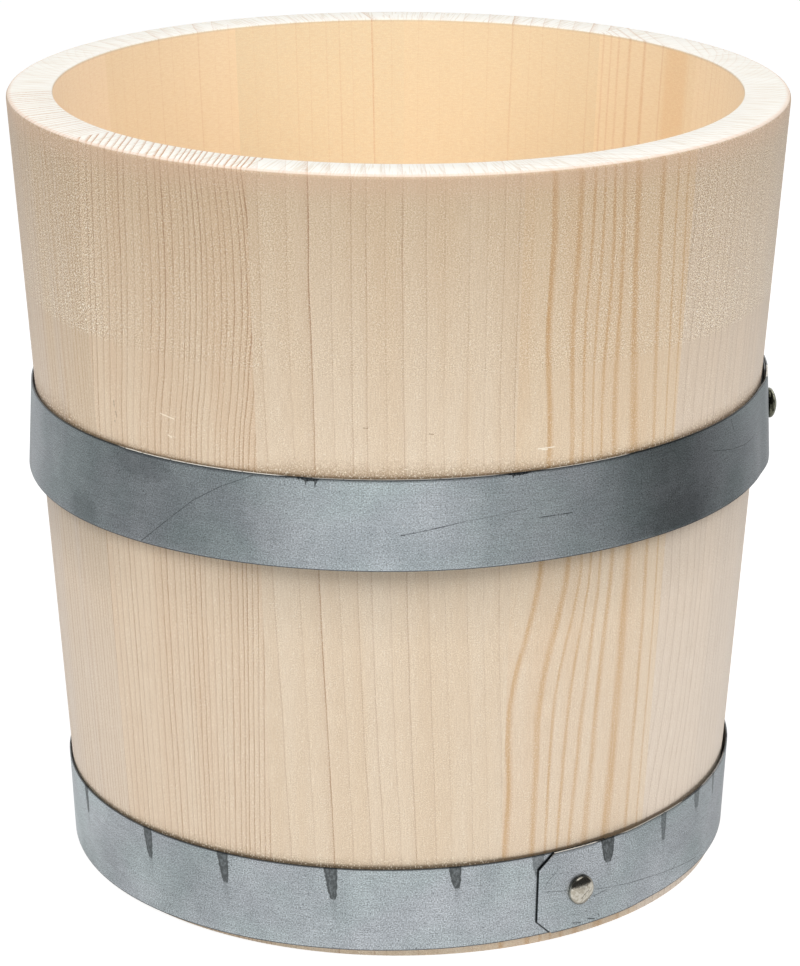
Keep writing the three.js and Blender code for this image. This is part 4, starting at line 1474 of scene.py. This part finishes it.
def floor_finish():
    """Pale floor, lit up near the bucket: white to the eye with a soft shadow, uneven to polished metal."""
    paint = new_finish("floor")
    paint.nodes.remove(paint.nodes["Principled BSDF"])
    x, y = paint.split(paint.made("TexCoord", output="Object"))[:2]
    away = paint.math("SQRT", x * x + y * y)
    glow = paint.made("Emission", None, away.between(GLOW_REACH, 0.1, 0, FLOOR_GLOW))
    plain = paint.made("AddShader", paint.made("BsdfDiffuse", LIT_FLOOR), glow)
    bright = paint.made("Emission", None, SHOWN_GLOW)
    to_eye = paint.made("AddShader", paint.made("BsdfDiffuse", SHOWN_FLOOR), bright)
    turn_share = paint.math("ARCTAN2", x, y * -1) * (0.5 / math.pi) + 0.5
    near, far = (
        turn_share.curve([(angle / FULL_TURN + 0.5, level) for angle, level in levels])
        for levels in (NEAR_LEVELS, FAR_LEVELS)
    )
    level = near + away.between(NEAR_FLOOR, FAR_FLOOR) * (far - near)
    return shown(paint, to_eye, plain, paint.made("Emission", None, level))


def studio_floor():
    bpy.ops.mesh.primitive_plane_add(size=12, location=(0, 0, 0))
    floor = named("floor")
    floor.data.materials.append(floor_finish())


def soft_light(name, place, target, size, power):
    data = bpy.data.lights.new(name, "AREA")
    data.shape = "SQUARE"
    data.size = size
    data.energy = power
    lamp = bpy.data.objects.new(name, data)
    bpy.context.scene.collection.objects.link(lamp)
    lamp.location = place
    lamp.rotation_euler = (Vector(target) - Vector(place)).to_track_quat("-Z", "Y").to_euler()
    lamp.visible_glossy = False


# Assembly

section = stave_section()
for k, (start, end) in enumerate(zip(STAVE_JOINTS, STAVE_JOINTS[1:])):
    node = f"stave_{k + 1:02d}"
    stave = turned_stave(section, f"spruce_{node}", start, end)
    for hoop in (UPPER_HOOP, LOWER_HOOP):
        if start < hoop.rivet_angle < end:
            cut_out(stave, pocket_tool(hoop))
    smooth(stave)
    hand_over(stave, stave_finish(f"{node}_spruce", STAVE_GRAIN[k], start, end), "stave_spruce", node)
discard(section)

disc = bottom_disc()
reach = groove_radius()
edges = [share * reach for share in [-1, *BOARD_JOINT_SHARES, 1]]
boards_wood = board_finish()
for place, front, back in zip(("front", "middle", "back"), edges, edges[1:]):
    board = sawn_board(disc, f"spruce_board_{place}", front, back)
    smooth(board)
    hand_over(board, boards_wood, "bottom_spruce", f"bottom_board_{place}")
discard(disc)

beech = dowel_finish()
for node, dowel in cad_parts.items():
    if node.startswith("dowel_"):
        dowel.data.materials.clear()
        dowel.data.materials.append(beech)

for place, hoop, steel, plate in (
    ("upper", UPPER_HOOP, UPPER_STEEL, ((188, 188, 160), (84, 86, 72), 0.16)),
    ("lower", LOWER_HOOP, LOWER_STEEL, ((232, 226, 212), (204, 196, 180), 0.15)),
):
    node = f"{place}_hoop"
    strip = hoop_strip(hoop, f"steel_{node}")
    hand_over(strip, strip_finish(f"{node}_zinc", steel, hoop), f"{node}_steel", node)
    plated = rivet_finish(f"{place}_rivet_plate", *plate)
    hand_over(rivet(hoop, f"steel_{node}_rivet"), plated, "rivet_steel", f"{node}_rivet")

studio_world()
studio_floor()
soft_light("overhead", (0, -0.1, 1.5), (0, 0, 0.2), size=1.0, power=3.6)
for side, name in ((-1, "front_left"), (1, "front_right")):
    soft_light(name, (side * 0.98, -0.77, 1.2), (0, 0, 0.14), size=0.8, power=13.2)
